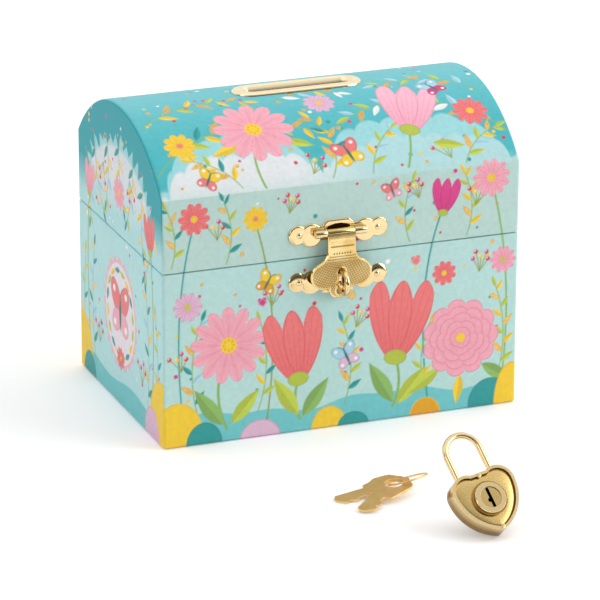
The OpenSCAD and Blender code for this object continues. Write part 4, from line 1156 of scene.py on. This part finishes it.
def plate_grid(node, belly, roll, window):
    """Pressed hasp plate in place of a flat one, with painted shade in its window.

    Rows run along the plate and columns across it. Its height is a quarter of an oval over the roll
    by the edge, less a share of the square of the way from the middle line; a window above the pin
    is sunk, and its share is returned as painted shade.
    """
    mid_x, mid_z = middle(node)[0], span(node)[1][2] - BLOCK_TALL + BLOCK_EASE
    kerf = 0.01
    sides = (-BLOCK_HALF - kerf, -BLOCK_HALF, BLOCK_HALF, BLOCK_HALF + kerf)
    x = np.sort(np.concatenate((PLATE_W / 2 * np.sin(np.linspace(-PI / 2, PI / 2, 241)), sides)))
    bottom, top = plate_edges(x, BAR_HALF if window else BLOCK_TALL + BLOCK_EASE)
    share = np.sin(np.linspace(-PI / 2, PI / 2, 49))
    z = (bottom + top)[:, None] / 2 + (top - bottom)[:, None] / 2 * share
    rim_x, rim_z = np.concatenate((x, x[::-1])), np.concatenate((bottom, top[::-1]))
    run = way_along(rim_x, rim_z)
    even = np.linspace(0, run[-1], 1200)
    rim_x, rim_z = np.interp(even, run, rim_x), np.interp(even, run, rim_z)
    wide = x[:, None]
    inset = nearest(wide, z, rim_x, rim_z)
    edge = np.sqrt(1 - (1 - np.clip(inset / roll, 0, 1)) ** 2)
    lip = 0.25
    rise = PLATE_T * (lip + (1 - lip) * edge) * (1 - belly * share ** 2)
    window_half, window_top, window_low, arch, slant, sink = 5.2, 3.5, -3.0, 0.05, 0.3, 0.85
    below_arch = window_top - arch * wide ** 2 - z
    inside = np.minimum(np.minimum(window_half - np.abs(wide), below_arch), z - window_low)
    # sunk: share of the window, which also darkens it as painted shade
    sunk = np.clip(0.5 + inside / slant, 0, 1) * window
    flat = np.zeros((len(x), 1))
    rise = np.concatenate((flat, rise * (1 - sink * sunk), flat, flat), axis=1)
    sunk = np.concatenate((flat, sunk, flat, flat), axis=1)
    z = np.concatenate((z[:, :1], z, z[:, -1:], z[:, :1]), axis=1)
    return np.stack((np.broadcast_to(mid_x + wide, z.shape), -HALF_D - rise, mid_z + z), axis=-1), sunk


def knuckle_grid(side):
    """Rolled knuckle of the hasp plate: a round with a web back to the plate, carried along the pin.

    The ends are rounded over and sink to a round bore about the pin, darkened as painted shade.
    """
    start = middle("hasp_plate")[0] + side * (LEAF_NECK + END_GAP)
    pin_y, pin_z = middle("hasp_pin")[1:]
    turn = np.linspace(-PI / 2, 0.55 - 2 * PI, 40)
    web_y, web_z = 2.3, -1.0
    web = [(1.45, web_z), (web_y, web_z), (web_y, -KNUCKLE_R), (1.2, -KNUCKLE_R), (0.0, -KNUCKLE_R)]
    loop = np.concatenate((KNUCKLE_R * np.stack((np.cos(turn), np.sin(turn)), axis=1), web))
    bore = loop / np.hypot(loop[:, :1], loop[:, 1:])
    end = np.array((1.0, 0.0, 0.0, 0.06, 0.25))
    size = np.array((0.0, 0.0, 0.9, 0.97, 1.0))
    bored = (size == 0.0).astype(float)
    out = np.concatenate((end, KNUCKLE_L - end[::-1], end[:1]))
    size, bored = (np.concatenate((v, v[::-1], v[:1])) for v in (size, bored))
    rings = size[:, None, None] * loop + bored[:, None, None] * bore
    x = np.broadcast_to((start + side * out)[:, None], rings.shape[:2])
    # Painted shade inside the bore at each end
    deep = np.concatenate((end, end[::-1], end[:1])) * bored
    dark = np.broadcast_to(deep[:, None], rings.shape[:2])
    return np.stack((x, pin_y + rings[..., 0], pin_z + rings[..., 1]), axis=-1), dark


def nail_grid(x, z):
    """Round-headed nail: a shank and a domed head, turned about its axis."""
    head, shank, deep = 0.6, 0.5, 1.9
    ball = (NAIL_R ** 2 + head ** 2) / (2 * head)
    lean = np.linspace(math.asin(NAIL_R / ball), 0, 10)
    r = np.concatenate(([0.0, shank, shank, NAIL_R], ball * np.sin(lean)))[:, None]
    out = np.concatenate(([-deep, -deep, 0.0, 0.0], ball * np.cos(lean) - ball + head))[:, None]
    turn = np.linspace(0, 2 * PI, 33)
    y = np.broadcast_to(-HALF_D - PLATE_T - out, (len(r), len(turn)))
    return np.stack((x + r * np.cos(turn), y, z + r * np.sin(turn)), axis=-1)


def heart_reach(angle, inset):
    """Distance from the keyhole to the heart's edge, set in by inset, at each angle.

    The furthest way out of two lobes, the filled notch and the wedge between two long side arcs.
    """
    wide, top, tip, notch_in, level = 27.6, 12.2, 13.8, 0.9, 1e-6
    lobe = wide / 4
    lobe_y, notch_y = top - lobe, top - notch_in
    side_r = ((lobe_y + tip) ** 2 / (wide / 2) + wide / 2) / 2
    side_x = side_r - wide / 2
    c, s = np.cos(angle), np.sin(angle)

    def leave(x, y, r):
        along = c * x + s * y
        inside = along ** 2 - x * x - y * y + r * r
        return np.where(inside > 0, along + np.sqrt(np.maximum(inside, 0)), 0.0)

    rise = np.maximum(s, level)
    notch = (notch_y - inset) / rise
    notch = np.where((s > 0.2) & (np.abs(notch * c) <= lobe), notch, 0.0)
    wedge = np.minimum(leave(side_x, lobe_y, side_r - inset), leave(-side_x, lobe_y, side_r - inset))
    wedge = np.where(s > level, np.minimum(wedge, lobe_y / rise), wedge)
    lobes = np.maximum(leave(lobe, lobe_y, lobe - inset), leave(-lobe, lobe_y, lobe - inset))
    return np.maximum(np.maximum(lobes, notch), wedge)


def on_lock(x, y, z):
    """Points drawn flat on the padlock, keyhole at nought, leaned back and rolled as it stands."""
    slope = np.array((0.0, math.cos(LOCK_LEAN), math.sin(LOCK_LEAN)))
    flat = np.array((1.0, 0.0, 0.0))
    across = math.cos(LOCK_ROLL) * flat + math.sin(LOCK_ROLL) * slope
    up = math.cos(LOCK_ROLL) * slope - math.sin(LOCK_ROLL) * flat
    return LOCK_AT + x[..., None] * across + y[..., None] * up + z[..., None] * LOCK_OUT


def lock_face_grid():
    """Face plate of the padlock: flat by the collar, falling with the square of the way to its edge.

    Columns run out from the hole to the heart's edge, over it and back behind; a narrow groove at
    the edge is darkened as painted shade.
    """
    low, high, hole, flat_r, play = 6.4, 7.2, 4.6, 7.3, 1.25
    dish, groove_deep, groove_wide = 0.28, 0.3, 0.45
    angle = np.linspace(0, 2 * PI, 241)[:, None]
    edge = heart_reach(angle, play)
    far = hole + np.linspace(0, 1, 40) ** 0.8 * (edge - hole)
    swell = np.clip((far - flat_r) / (edge - flat_r), 0, 1)
    groove = np.exp(-((edge - far) / groove_wide) ** 2)
    z = high - dish * swell ** 2 - groove_deep * groove
    far = np.concatenate((far, edge, np.full(edge.shape, hole), far[:, :1]), axis=1)
    z = np.concatenate((z, np.full((len(edge), 2), low), z[:, :1]), axis=1)
    # Painted shade along the groove
    dark = np.concatenate((0.9 * groove, np.zeros((len(edge), 3))), axis=1)
    return on_lock(far * np.cos(angle), far * np.sin(angle), z), dark


def leaf_outline():
    """Half width and drop of the hasp leaf from its pin down: neck, flare, bell and rounded tongue."""
    flare, bell, bell_x, bell_z, tongue, sag = 6.0, 6.2, 7.3, -18.3, 5.0, 0.2
    flare_x = LEAF_NECK + flare
    flare_z = bell_z + math.sqrt((bell + flare) ** 2 - (flare_x - bell_x) ** 2)
    meet_z = flare_z + (bell_z - flare_z) * flare / (bell + flare)
    neck_z = np.linspace(0, flare_z, 26)[:-1]
    curve_z = np.linspace(flare_z, meet_z, 30)[:-1]
    swing = np.linspace(math.asin((meet_z - bell_z) / bell), -PI / 2, 60)
    step = np.linspace(bell_x, tongue, 7)[1:-1]
    turn = np.linspace(0, PI / 2, 34)
    width = np.concatenate((
        np.full(len(neck_z), LEAF_NECK), flare_x - np.sqrt(flare ** 2 - (curve_z - flare_z) ** 2),
        bell_x + bell * np.cos(swing), step, tongue * np.cos(turn)))
    drop = np.concatenate((
        neck_z, curve_z, bell_z + bell * np.sin(swing), np.full(len(step), bell_z - bell),
        tongue - LEAF_L - sag * (1 - turn / (PI / 2)) - tongue * np.sin(turn)))
    return width, drop


def leaf_stamping(w, z, rim_w, rim_z):
    """Stamped pattern on the leaf's front: its height, its grain and painted shade in its hollows.

    Inside a plain border by the rim, the front is sunk, with three grooves and a row of pits across
    the neck and, on the bell, round studs set on arcs about a hub near the pin.
    """
    border, field_down, bell_down, groove_wide = 0.55, 2.6, 11.2, 0.22
    field = ease(np.clip((nearest(w, z, rim_w, rim_z) - border) / 0.3, 0, 1))
    field = field * np.clip((-z - field_down) / 0.5, 0, 1)
    bell = np.clip((-z - bell_down) / 1.2, 0, 1)
    groove = sum(np.exp(-((z + down) / groove_wide) ** 2) for down in (5.4, 9.9, 11.0))
    pit_step, pit_down, pit_reach = 1.2, 8.5, 4.6
    pit_w = (w + pit_step / 2) % pit_step - pit_step / 2
    pits = np.exp(-(pit_w ** 2 + (z + pit_down) ** 2) / 0.10) * (w < pit_reach)
    pitch, hub = 1.05, 3.0
    far, angle = np.hypot(w, z + hub), np.arctan2(w, -z - hub)
    ring = np.round(far / pitch)
    count = np.maximum(np.round(ring * 2 * PI), 1)
    cell = (angle * count / (2 * PI) + 0.5 * (ring % 2)) % 1 - 0.5
    stud = np.exp(-((cell * pitch) ** 2 + (far - ring * pitch) ** 2) / 0.085)
    relief = field * (-0.10 - 0.07 * groove - 0.16 * pits + 0.13 * stud * bell)
    grain = np.clip(field * (0.15 + 0.85 * bell), 0, 1)
    # Painted shade in the grooves, the pits and the gaps between studs
    shade = np.clip(field * (0.75 * groove + pits + 0.85 * bell * (1 - stud) ** 2), 0, 1)
    return relief, grain, shade


def leaf_grids():
    """Stamped hasp leaf in two halves that meet on its middle line and leave the slot between them.

    Rows run down the outline, columns from the slot or middle line to the edge, over its coved rim
    and back behind. The thickness follows the bow, a circle that leads from the barrel to the staple
    plate. Returns the grids, and the grain and painted shade of each.
    """
    mid_x = middle("hasp_leaf")[0]
    pin_y, pin_z = middle("hasp_pin")[1:]
    top_y, low_y = pin_y - KNUCKLE_R + LEAF_T / 2, -HALF_D - PLATE_T - LEAF_GAP - LEAF_T / 2
    chord = math.hypot(low_y - top_y, LEAF_L)
    reach = math.sqrt(LEAF_BOW ** 2 - (chord / 2) ** 2)
    bow_y = (top_y + low_y) / 2 + reach * LEAF_L / chord
    bow_z = pin_z - LEAF_L / 2 + reach * (low_y - top_y) / chord

    width, drop = leaf_outline()
    slope_w, slope_z = np.gradient(width), np.gradient(drop)
    slope = np.hypot(slope_w, slope_z)[:, None] + TINY
    slot_z, slot_half, slot_l = -21.4, 1.7, 12.5
    past = np.maximum(np.abs(drop - slot_z) - (slot_l / 2 - slot_half), 0.0)
    slot = np.sqrt(np.maximum(slot_half ** 2 - past ** 2, 0.0))
    near_w, near_z = np.concatenate((width, slot[slot > 0])), np.concatenate((drop, drop[slot > 0]))
    width, drop, slot = width[:, None], drop[:, None], slot[:, None]
    cove = 0.34
    turn = np.linspace(0, PI / 2, 5)
    inset = np.concatenate(([cove], cove * (1 - np.sin(turn[::-1]))))
    edge_w = np.clip(width + slope_z[:, None] / slope * inset, slot, np.maximum(width, slot))
    edge_z = drop - slope_w[:, None] / slope * inset
    edge_t = np.broadcast_to(LEAF_T / 2 - cove + cove * np.cos(np.concatenate(([0.0], turn))), edge_w.shape)
    share = np.linspace(0, 1, 66)
    face_w = slot + share * (edge_w[:, :1] - slot)
    face_z = drop + share ** 2 * (edge_z[:, :1] - drop)
    relief, grain, shade = leaf_stamping(face_w, face_z, near_w, near_z)

    front = [np.concatenate(pair, axis=1) for pair in (
        (face_w, edge_w), (face_z, edge_z), (LEAF_T / 2 + relief, edge_t))]
    back = [v[:, ::-1] for v in front[:2]]
    back.append(np.concatenate((-edge_t[:, ::-1], np.full(face_w.shape, -LEAF_T / 2)), axis=1))
    w, z, t = (np.concatenate((out, home, out[:, :1]), axis=1) for out, home in zip(front, back))
    y = bow_y - np.sqrt((LEAF_BOW + t) ** 2 - (z + pin_z - bow_z) ** 2)
    halves = []
    for side in (1.0, -1.0):
        half = np.stack((mid_x + side * w, y, z + pin_z), axis=-1)
        cap = np.broadcast_to(half[:1].mean(axis=1, keepdims=True), half[:1].shape)
        halves.append(np.concatenate((cap, half)))
    barrel = barrel_grid(mid_x, pin_y, pin_z)
    marks = []
    for pressed in (grain, shade):
        loop = np.zeros(halves[0].shape[:2])
        loop[1:, :face_w.shape[1]] = pressed
        loop[1:, -1] = pressed[:, 0]
        marks.append([loop, loop, np.zeros(barrel.shape[:2])])
    return [*halves, barrel], *marks


def barrel_grid(mid_x, pin_y, pin_z):
    """Barrel of the hasp leaf: a bored round with eased ends, turned about the pin."""
    bore = 0.85
    end_x = LEAF_NECK - np.array((0.2, 0.05, 0.0, 0.0, 0.05, 0.2))
    end_r = np.array((bore, bore, bore + 0.05, KNUCKLE_R - 0.15, KNUCKLE_R - 0.04, KNUCKLE_R))
    x = np.concatenate((end_x, [0.0], -end_x[::-1], [0.0], end_x[:1]))[:, None]
    r = np.concatenate((end_r, end_r[-1:], end_r[::-1], end_r[:1], end_r[:1]))[:, None]
    turn = np.linspace(0, 2 * PI, 41)
    x = np.broadcast_to(mid_x + x, (len(x), len(turn)))
    return np.stack((x, pin_y + r * np.cos(turn), pin_z + r * np.sin(turn)), axis=-1)


def on_leaf_middle(x, y):
    """True on the middle line of the leaf, where its two halves would wall each other off."""
    return np.abs(x - middle("hasp_leaf")[0]) < ON_LINE


# Stage


def lay_floor(look):
    """Wide pale floor, which glows a little where the camera or a mirror sees it."""
    x, y = np.meshgrid(np.linspace(-1100, 1100, 9), np.linspace(-620, 1600, 9))
    under = np.array((0.0, 0.0, -500.0))
    floor = skin("floor", [np.stack((x, y, np.zeros_like(x)), axis=-1)], under)
    b = Bench("floor_paper")
    seen = b.seen()
    b.finish(
        Base_Color=tuple(look.floor), Roughness=0.9, Specular_IOR_Level=0.1,
        Emission_Color=b.tint(seen, (0.0, 0.0, 0.0), (1.0, 1.0, 1.0)), Emission_Strength=look.floor_lift)
    floor.data.materials.append(b.material)


def light_room(look):
    """Light from all round, darker on the camera's side; the camera itself sees plain white."""
    world = bpy.data.worlds.new("studio")
    bpy.context.scene.world = world
    world.use_nodes = True
    r = Bench.around(world.node_tree)
    way = r.node("ShaderNodeTexCoord", out="Generated")
    ahead, beside, upward, behind = (
        r.facing(way, towards)
        for towards in ((0.10, -0.95, 0.30), (-0.92, -0.25, 0.30), (0.0, 0.0, 1.0), (0.0, 1.0, 0.0)))
    shade = r.clamp(ahead, 0.55, 0.92, 1.0, look.dark_side) * r.clamp(beside, 0.82, 0.96, 1.0, 0.3)
    room = r.clamp(upward, 0.0, 0.5, 0.3, 1.25) * shade * look.sky
    seen = r.clamp(r.rays("Camera") + r.seen() * r.clamp(behind, 0.0, 0.3), 0.0, 1.0)
    sky = world.node_tree.nodes["Background"]
    r.join(sky.inputs["Color"], (1.0, 1.0, 1.0))
    r.join(sky.inputs["Strength"], room * (1 - seen) + seen)


def hang_lamp(name, power, size, at):
    """Round soft lamp turned towards the box."""
    lamp = bpy.data.lights.new(name, "AREA")
    lamp.energy = power
    lamp.shape = "DISK"
    lamp.size = size
    holder = bpy.data.objects.new(name, lamp)
    holder.location = at
    beam = Vector((0.0, 0.0, 0.05)) - Vector(at)
    holder.rotation_euler = beam.to_track_quat("-Z", "Y").to_euler()
    bpy.context.scene.collection.objects.link(holder)


def set_camera(lens):
    """Camera on the view that was fitted to the box's corners."""
    camera = bpy.data.cameras.new("camera")
    camera.lens = lens
    camera.sensor_width = 36.0
    camera.clip_end = 100.0
    eye = Vector((-0.6020, -1.5618, 0.6324))
    aim = Vector((0.00198, 0.0, 0.03817))
    tilt = Matrix.Rotation(math.radians(0.175), 3, "Z")
    turn = (aim - eye).to_track_quat("-Z", "Y").to_matrix() @ tilt
    view = bpy.data.objects.new("camera", camera)
    view.matrix_world = Matrix.Translation(eye) @ turn.to_4x4()
    scene = bpy.context.scene
    scene.collection.objects.link(view)
    scene.camera = view


# Settings


def length_setting(name, description, default):
    """Length setting of a paper, in metres."""
    return bpy.props.FloatProperty(name=name, description=description, default=default, unit="LENGTH")


class PaperLook(bpy.types.PropertyGroup):
    """Sizes of the printed papers."""

    dome_rise: length_setting("Dome rise", "Height of the dome above its crease", 0.0257)
    crease_radius: length_setting("Crease radius", "Round where wall and dome meet", 0.0016)
    corner_radius: length_setting("Corner radius", "Round of the upright corners", 0.0012)
    front_grain: length_setting("Front print step", "Distance of print points on the front", 0.00037)
    side_grain: length_setting("Side print step", "Distance of print points on ends and back", 0.0005)


def tone_setting(name, description, *screen):
    """Colour setting of a metal, from its screen colour."""
    return bpy.props.FloatVectorProperty(
        name=name, description=description, subtype="COLOR", size=3, default=tuple(ink(*screen)),
        min=0.0, max=1.0)


class BrassLook(bpy.types.PropertyGroup):
    """Colours of the metals."""

    light: tone_setting("Bright brass", "Colour of polished brass", 236, 211, 160)
    dark: tone_setting("Deep brass", "Colour of brass in its deeper patches", 216, 180, 114)
    lock_light: tone_setting("Padlock brass", "Colour of the padlock", 216, 187, 122)
    lock_dark: tone_setting("Deep padlock brass", "Colour of the padlock in deeper patches", 172, 138, 78)
    key_light: tone_setting("Key brass", "Colour of the satin keys", 242, 208, 140)
    key_dark: tone_setting("Deep key brass", "Colour of the keys in deeper patches", 216, 176, 102)


class StageLook(bpy.types.PropertyGroup):
    """Light and view."""

    key_power: bpy.props.FloatProperty(
        name="Key light", description="Power of the large soft lamp", default=14.0, unit="POWER")
    fill_power: bpy.props.FloatProperty(
        name="Fill light", description="Power of the front lamp", default=3.0, unit="POWER")
    sky: bpy.props.FloatProperty(
        name="Room light", description="Strength of the light from all round", default=0.95, min=0.0, max=2.0)
    dark_side: bpy.props.FloatProperty(
        name="Dark side", description="Share of the room light behind the camera",
        default=0.2, min=0.0, max=1.0)
    floor_lift: bpy.props.FloatProperty(
        name="Floor lift", description="Glow that the camera sees on the floor",
        default=0.13, min=0.0, max=1.0)
    floor: bpy.props.FloatVectorProperty(
        name="Floor", description="Colour of the floor", subtype="COLOR", size=3,
        default=(0.95, 0.95, 0.95), min=0.0, max=1.0)
    lens: bpy.props.FloatProperty(
        name="Lens", description="Focal length in millimetres", default=246.4)


# Steps


class KEEPSAKE_OT_case_papers(bpy.types.Operator):
    """Printed paper round the case, one sheet to each side"""

    bl_idname = "keepsake.case_papers"
    bl_label = "Case papers"

    def execute(self, context):
        look = context.scene.keepsake_paper
        printed_paper()
        corner, spring = paper_sizes()
        for side in ("front", "back", "left", "right"):
            step = 1000.0 * (look.front_grain if side == "front" else look.side_grain)
            half, across = (HALF_W, HALF_D) if side in ("front", "back") else (HALF_D, HALF_W)
            along, out, z = wall_sheet(half, across, corner, *case_profile(step), int(2 * half / step))
            if side == "right":
                along = -along
            if side == "front":
                sheet = front_design(along, z, spring)
            elif side == "back":
                sheet = back_design(along, z, spring)
            else:
                sheet = end_design(along, z, np.full(z.shape, NO_ARCH), END_SEEDS[side])
            grid = stand(along, out, z, side)
            print_piece(f"case_{side}_print", [grid], [sheet], "case", "printed_paper", "case_wrap")
        return {"FINISHED"}


class KEEPSAKE_OT_lid_papers(bpy.types.Operator):
    """Printed paper over the lid: walls, dome and arched ends"""

    bl_idname = "keepsake.lid_papers"
    bl_label = "Lid papers"

    def execute(self, context):
        look = context.scene.keepsake_paper
        corner, spring = paper_sizes()
        for side, design, grain in (
            ("front", front_design, look.front_grain),
            ("back", back_design, look.side_grain),
        ):
            step = 1000.0 * grain
            along, out, up = lid_wall(HALF_W, HALF_D, corner, step)
            wall, sheet = stand(along, out, up, side), design(along, up, spring)
            print_piece(f"lid_{side}_print", [wall], [sheet], "lid", "printed_paper", "lid_wrap")
            dome, across, rolled = dome_sheet(side, corner, step)
            print_piece(
                f"lid_dome_{side}_print", [dome], [design(across, rolled, spring)], "lid",
                "printed_dome_paper", "lid_wrap", hole=in_coin_slot)

        step = 1000.0 * look.side_grain
        centre, radius = dome_circle()
        along, out, up = lid_wall(HALF_D, HALF_W, corner, step)
        arch_x, arch_y, arch_z = arch_sheet(corner, step)
        below, above = (
            np.minimum(HALF_D - np.abs(y), radius - np.hypot(y, z - centre))
            for y, z in ((along, up), (arch_y, arch_z)))
        for side, sign in (("left", -1.0), ("right", 1.0)):
            front, seed = -sign * along, END_SEEDS[side]
            wall = stand(front, out, up, side)
            arch = np.stack((sign * arch_x, arch_y, arch_z), axis=-1)
            sheets = [end_design(front, up, below, seed), end_design(-arch_y, arch_z, above, seed)]
            print_piece(
                f"lid_{side}_print", [wall, arch], sheets, "lid", "printed_paper",
                f"lid_{side}_paper", "lid_wrap")
        return {"FINISHED"}


class KEEPSAKE_OT_boards(bpy.types.Operator):
    """Grey board, lining and foot sheet"""

    bl_idname = "keepsake.boards"
    bl_label = "Boards and lining"

    def execute(self, context):
        grey = board("grey_board", ink(176, 170, 160), ink(148, 142, 134))
        dress(grey, *[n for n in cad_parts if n.endswith("_board")])
        dress(lining_paper(), "case_lining", "lid_lining")
        dress(board("foot_card", ink(92, 160, 164), ink(74, 138, 144)), "case_foot_sheet")
        return {"FINISHED"}


class KEEPSAKE_OT_brass(bpy.types.Operator):
    """Hasp, hinges and coin slot in plated brass"""

    bl_idname = "keepsake.brass"
    bl_label = "Brass fittings"

    def execute(self, context):
        look = context.scene.keepsake_brass
        bright = brass("bright_brass", look.light, look.dark, 0.1, dents=0.015)
        pressed = brass("pressed_brass", look.light, look.dark, 0.11, with_painted_shade=True)
        plate, dark = plate_grid("staple_plate", belly=0.72, roll=1.3, window=False)
        metal_piece("staple_pressed_plate", pressed, "case", "staple_plate", [plate], shade=[dark])
        plate = plate_grid("hasp_plate", belly=0.2, roll=0.6, window=True)
        grids, dark = zip(plate, knuckle_grid(-1), knuckle_grid(1))
        metal_piece("hasp_pressed_plate", pressed, "lid", "hasp_plate", grids, shade=dark)
        for name, node, body in (
            ("staple_domed_nails", "staple_nails", "case"),
            ("hasp_domed_nails", "hasp_nails", "lid"),
        ):
            low, high = span(node)
            nails = [nail_grid(x, middle(node)[2]) for x in (low[0] + NAIL_R, high[0] - NAIL_R)]
            metal_piece(name, bright, body, node, nails)
        dress(bright, "hinge_case_nails", "hinge_lid_nails", soften=0.55, segments=5)
        dress(bright, "staple_ring", "hasp_pin", "hinge_pins")
        rail, throat = coin_slot_grid()
        # The frame takes a paler copy of the bright brass, so that it reads as brightly lit: painted sheen.
        pale = brass("slot_brass", ink(250, 232, 194), look.light, 0.1, with_painted_shade=True, dents=0.01)
        metal_piece("coin_slot_frame", pale, "lid", "coin_slot_trim", [rail], shade=[throat])
        dress(bright, "hinge_case_leaf_left", "hinge_case_leaf_right", soften=0.12)
        dress(bright, "hinge_lid_leaf_left", "hinge_lid_leaf_right", soften=0.12)
        dress(spring_steel(), "coin_slot_clip", "padlock_spring", "padlock_latch")
        grids, grain, shade = leaf_grids()
        metal_piece(
            "hasp_stamped_leaf", stippled_brass(), "hasp_leaf", "hasp_leaf", grids,
            hole=on_leaf_middle, grain=grain, shade=shade)
        return {"FINISHED"}


class KEEPSAKE_OT_padlock(bpy.types.Operator):
    """Heart padlock in polished brass with a brushed face"""

    bl_idname = "keepsake.padlock"
    bl_label = "Padlock"

    def execute(self, context):
        look = context.scene.keepsake_brass
        # The body keeps bright brass on its rim and darkens down its sides towards its back: painted
        # highlight on the rim, painted shade on the sides.
        shell = brass(
            "lock_brass", look.light, look.lock_light, 0.14, tarnish=0.5, dents=0.01,
            tone_and_painted_shade=(ink(150, 118, 64), 2.5, 7.8))
        satin = brass(
            "satin_brass", look.lock_light, look.lock_dark, 0.2, tarnish=0.35, with_painted_shade=True, dents=0.01)
        # The plug turns near black below its top: painted shade in the keyhole.
        plug = brass(
            "plug_brass", look.lock_light, look.lock_dark, 0.12, tarnish=0.5, dents=0.02,
            tone_and_painted_shade=(ink(10, 7, 4), 8.6, 8.8))
        # The collar darkens towards its foot: painted shade where it meets the face.
        ring = brass(
            "collar_brass", look.light, look.lock_light, 0.1, tarnish=0.3, dents=0.01,
            tone_and_painted_shade=(look.lock_dark, 8.1, 8.7))
        dress(shell, "padlock_body", soften=0.5, segments=5)
        face, groove = lock_face_grid()
        metal_piece("padlock_dished_face", satin, "padlock", "padlock_face_plate", [face], shade=[groove])
        dress(ring, "padlock_collar", soften=0.3, segments=4)
        dress(bpy.data.materials["bright_brass"], "padlock_shackle", soften=0.3, segments=4)
        dress(plug, "padlock_plug")
        return {"FINISHED"}


class KEEPSAKE_OT_keys(bpy.types.Operator):
    """Two flat keys on a wire ring"""

    bl_idname = "keepsake.keys"
    bl_label = "Keys"

    def execute(self, context):
        look = context.scene.keepsake_brass
        satin = brass("key_brass", look.key_light, look.key_dark, 0.34, brushed=0.8, tarnish=0.5)
        dress(satin, "key_a", "key_b", soften=0.12)
        dress(satin, "key_ring")
        return {"FINISHED"}


class KEEPSAKE_OT_stage(bpy.types.Operator):
    """Pale floor, soft lamps and the camera"""

    bl_idname = "keepsake.stage"
    bl_label = "Stage"

    def execute(self, context):
        scene = context.scene
        look = scene.keepsake_stage
        scene.view_settings.view_transform = "Standard"
        lay_floor(look)
        light_room(look)
        hang_lamp("key_lamp", look.key_power, 1.4, (1.25, -0.9, 0.75))
        hang_lamp("fill_lamp", look.fill_power, 0.8, (-1.5, -0.9, 0.7))
        set_camera(look.lens)
        return {"FINISHED"}


class KEEPSAKE_PT_panel(bpy.types.Panel):
    """Lists the steps that dress the box"""

    bl_idname = "KEEPSAKE_PT_panel"
    bl_label = "Keepsake box"
    bl_space_type = "VIEW_3D"
    bl_region_type = "UI"
    bl_category = "Keepsake"

    def draw(self, context):
        for step in STEPS:
            self.layout.operator(step.bl_idname)
        for group in LOOKS:
            look = getattr(context.scene, group)
            for key in look.__annotations__:
                self.layout.prop(look, key)


LOOKS = {"keepsake_paper": PaperLook, "keepsake_brass": BrassLook, "keepsake_stage": StageLook}
STEPS = (
    KEEPSAKE_OT_stage,
    KEEPSAKE_OT_case_papers,
    KEEPSAKE_OT_lid_papers,
    KEEPSAKE_OT_boards,
    KEEPSAKE_OT_brass,
    KEEPSAKE_OT_padlock,
    KEEPSAKE_OT_keys,
)


def register():
    for name, group in LOOKS.items():
        bpy.utils.register_class(group)
        setattr(bpy.types.Scene, name, bpy.props.PointerProperty(type=group))
    for step in (*STEPS, KEEPSAKE_PT_panel):
        bpy.utils.register_class(step)


def unregister():
    for step in (KEEPSAKE_PT_panel, *reversed(STEPS)):
        bpy.utils.unregister_class(step)
    for name, group in LOOKS.items():
        delattr(bpy.types.Scene, name)
        bpy.utils.unregister_class(group)


def main():
    register()
    bpy.ops.keepsake.stage()
    bpy.ops.keepsake.case_papers()
    bpy.ops.keepsake.lid_papers()
    bpy.ops.keepsake.boards()
    bpy.ops.keepsake.brass()
    bpy.ops.keepsake.padlock()
    bpy.ops.keepsake.keys()


if __name__ == "__main__":
    main()
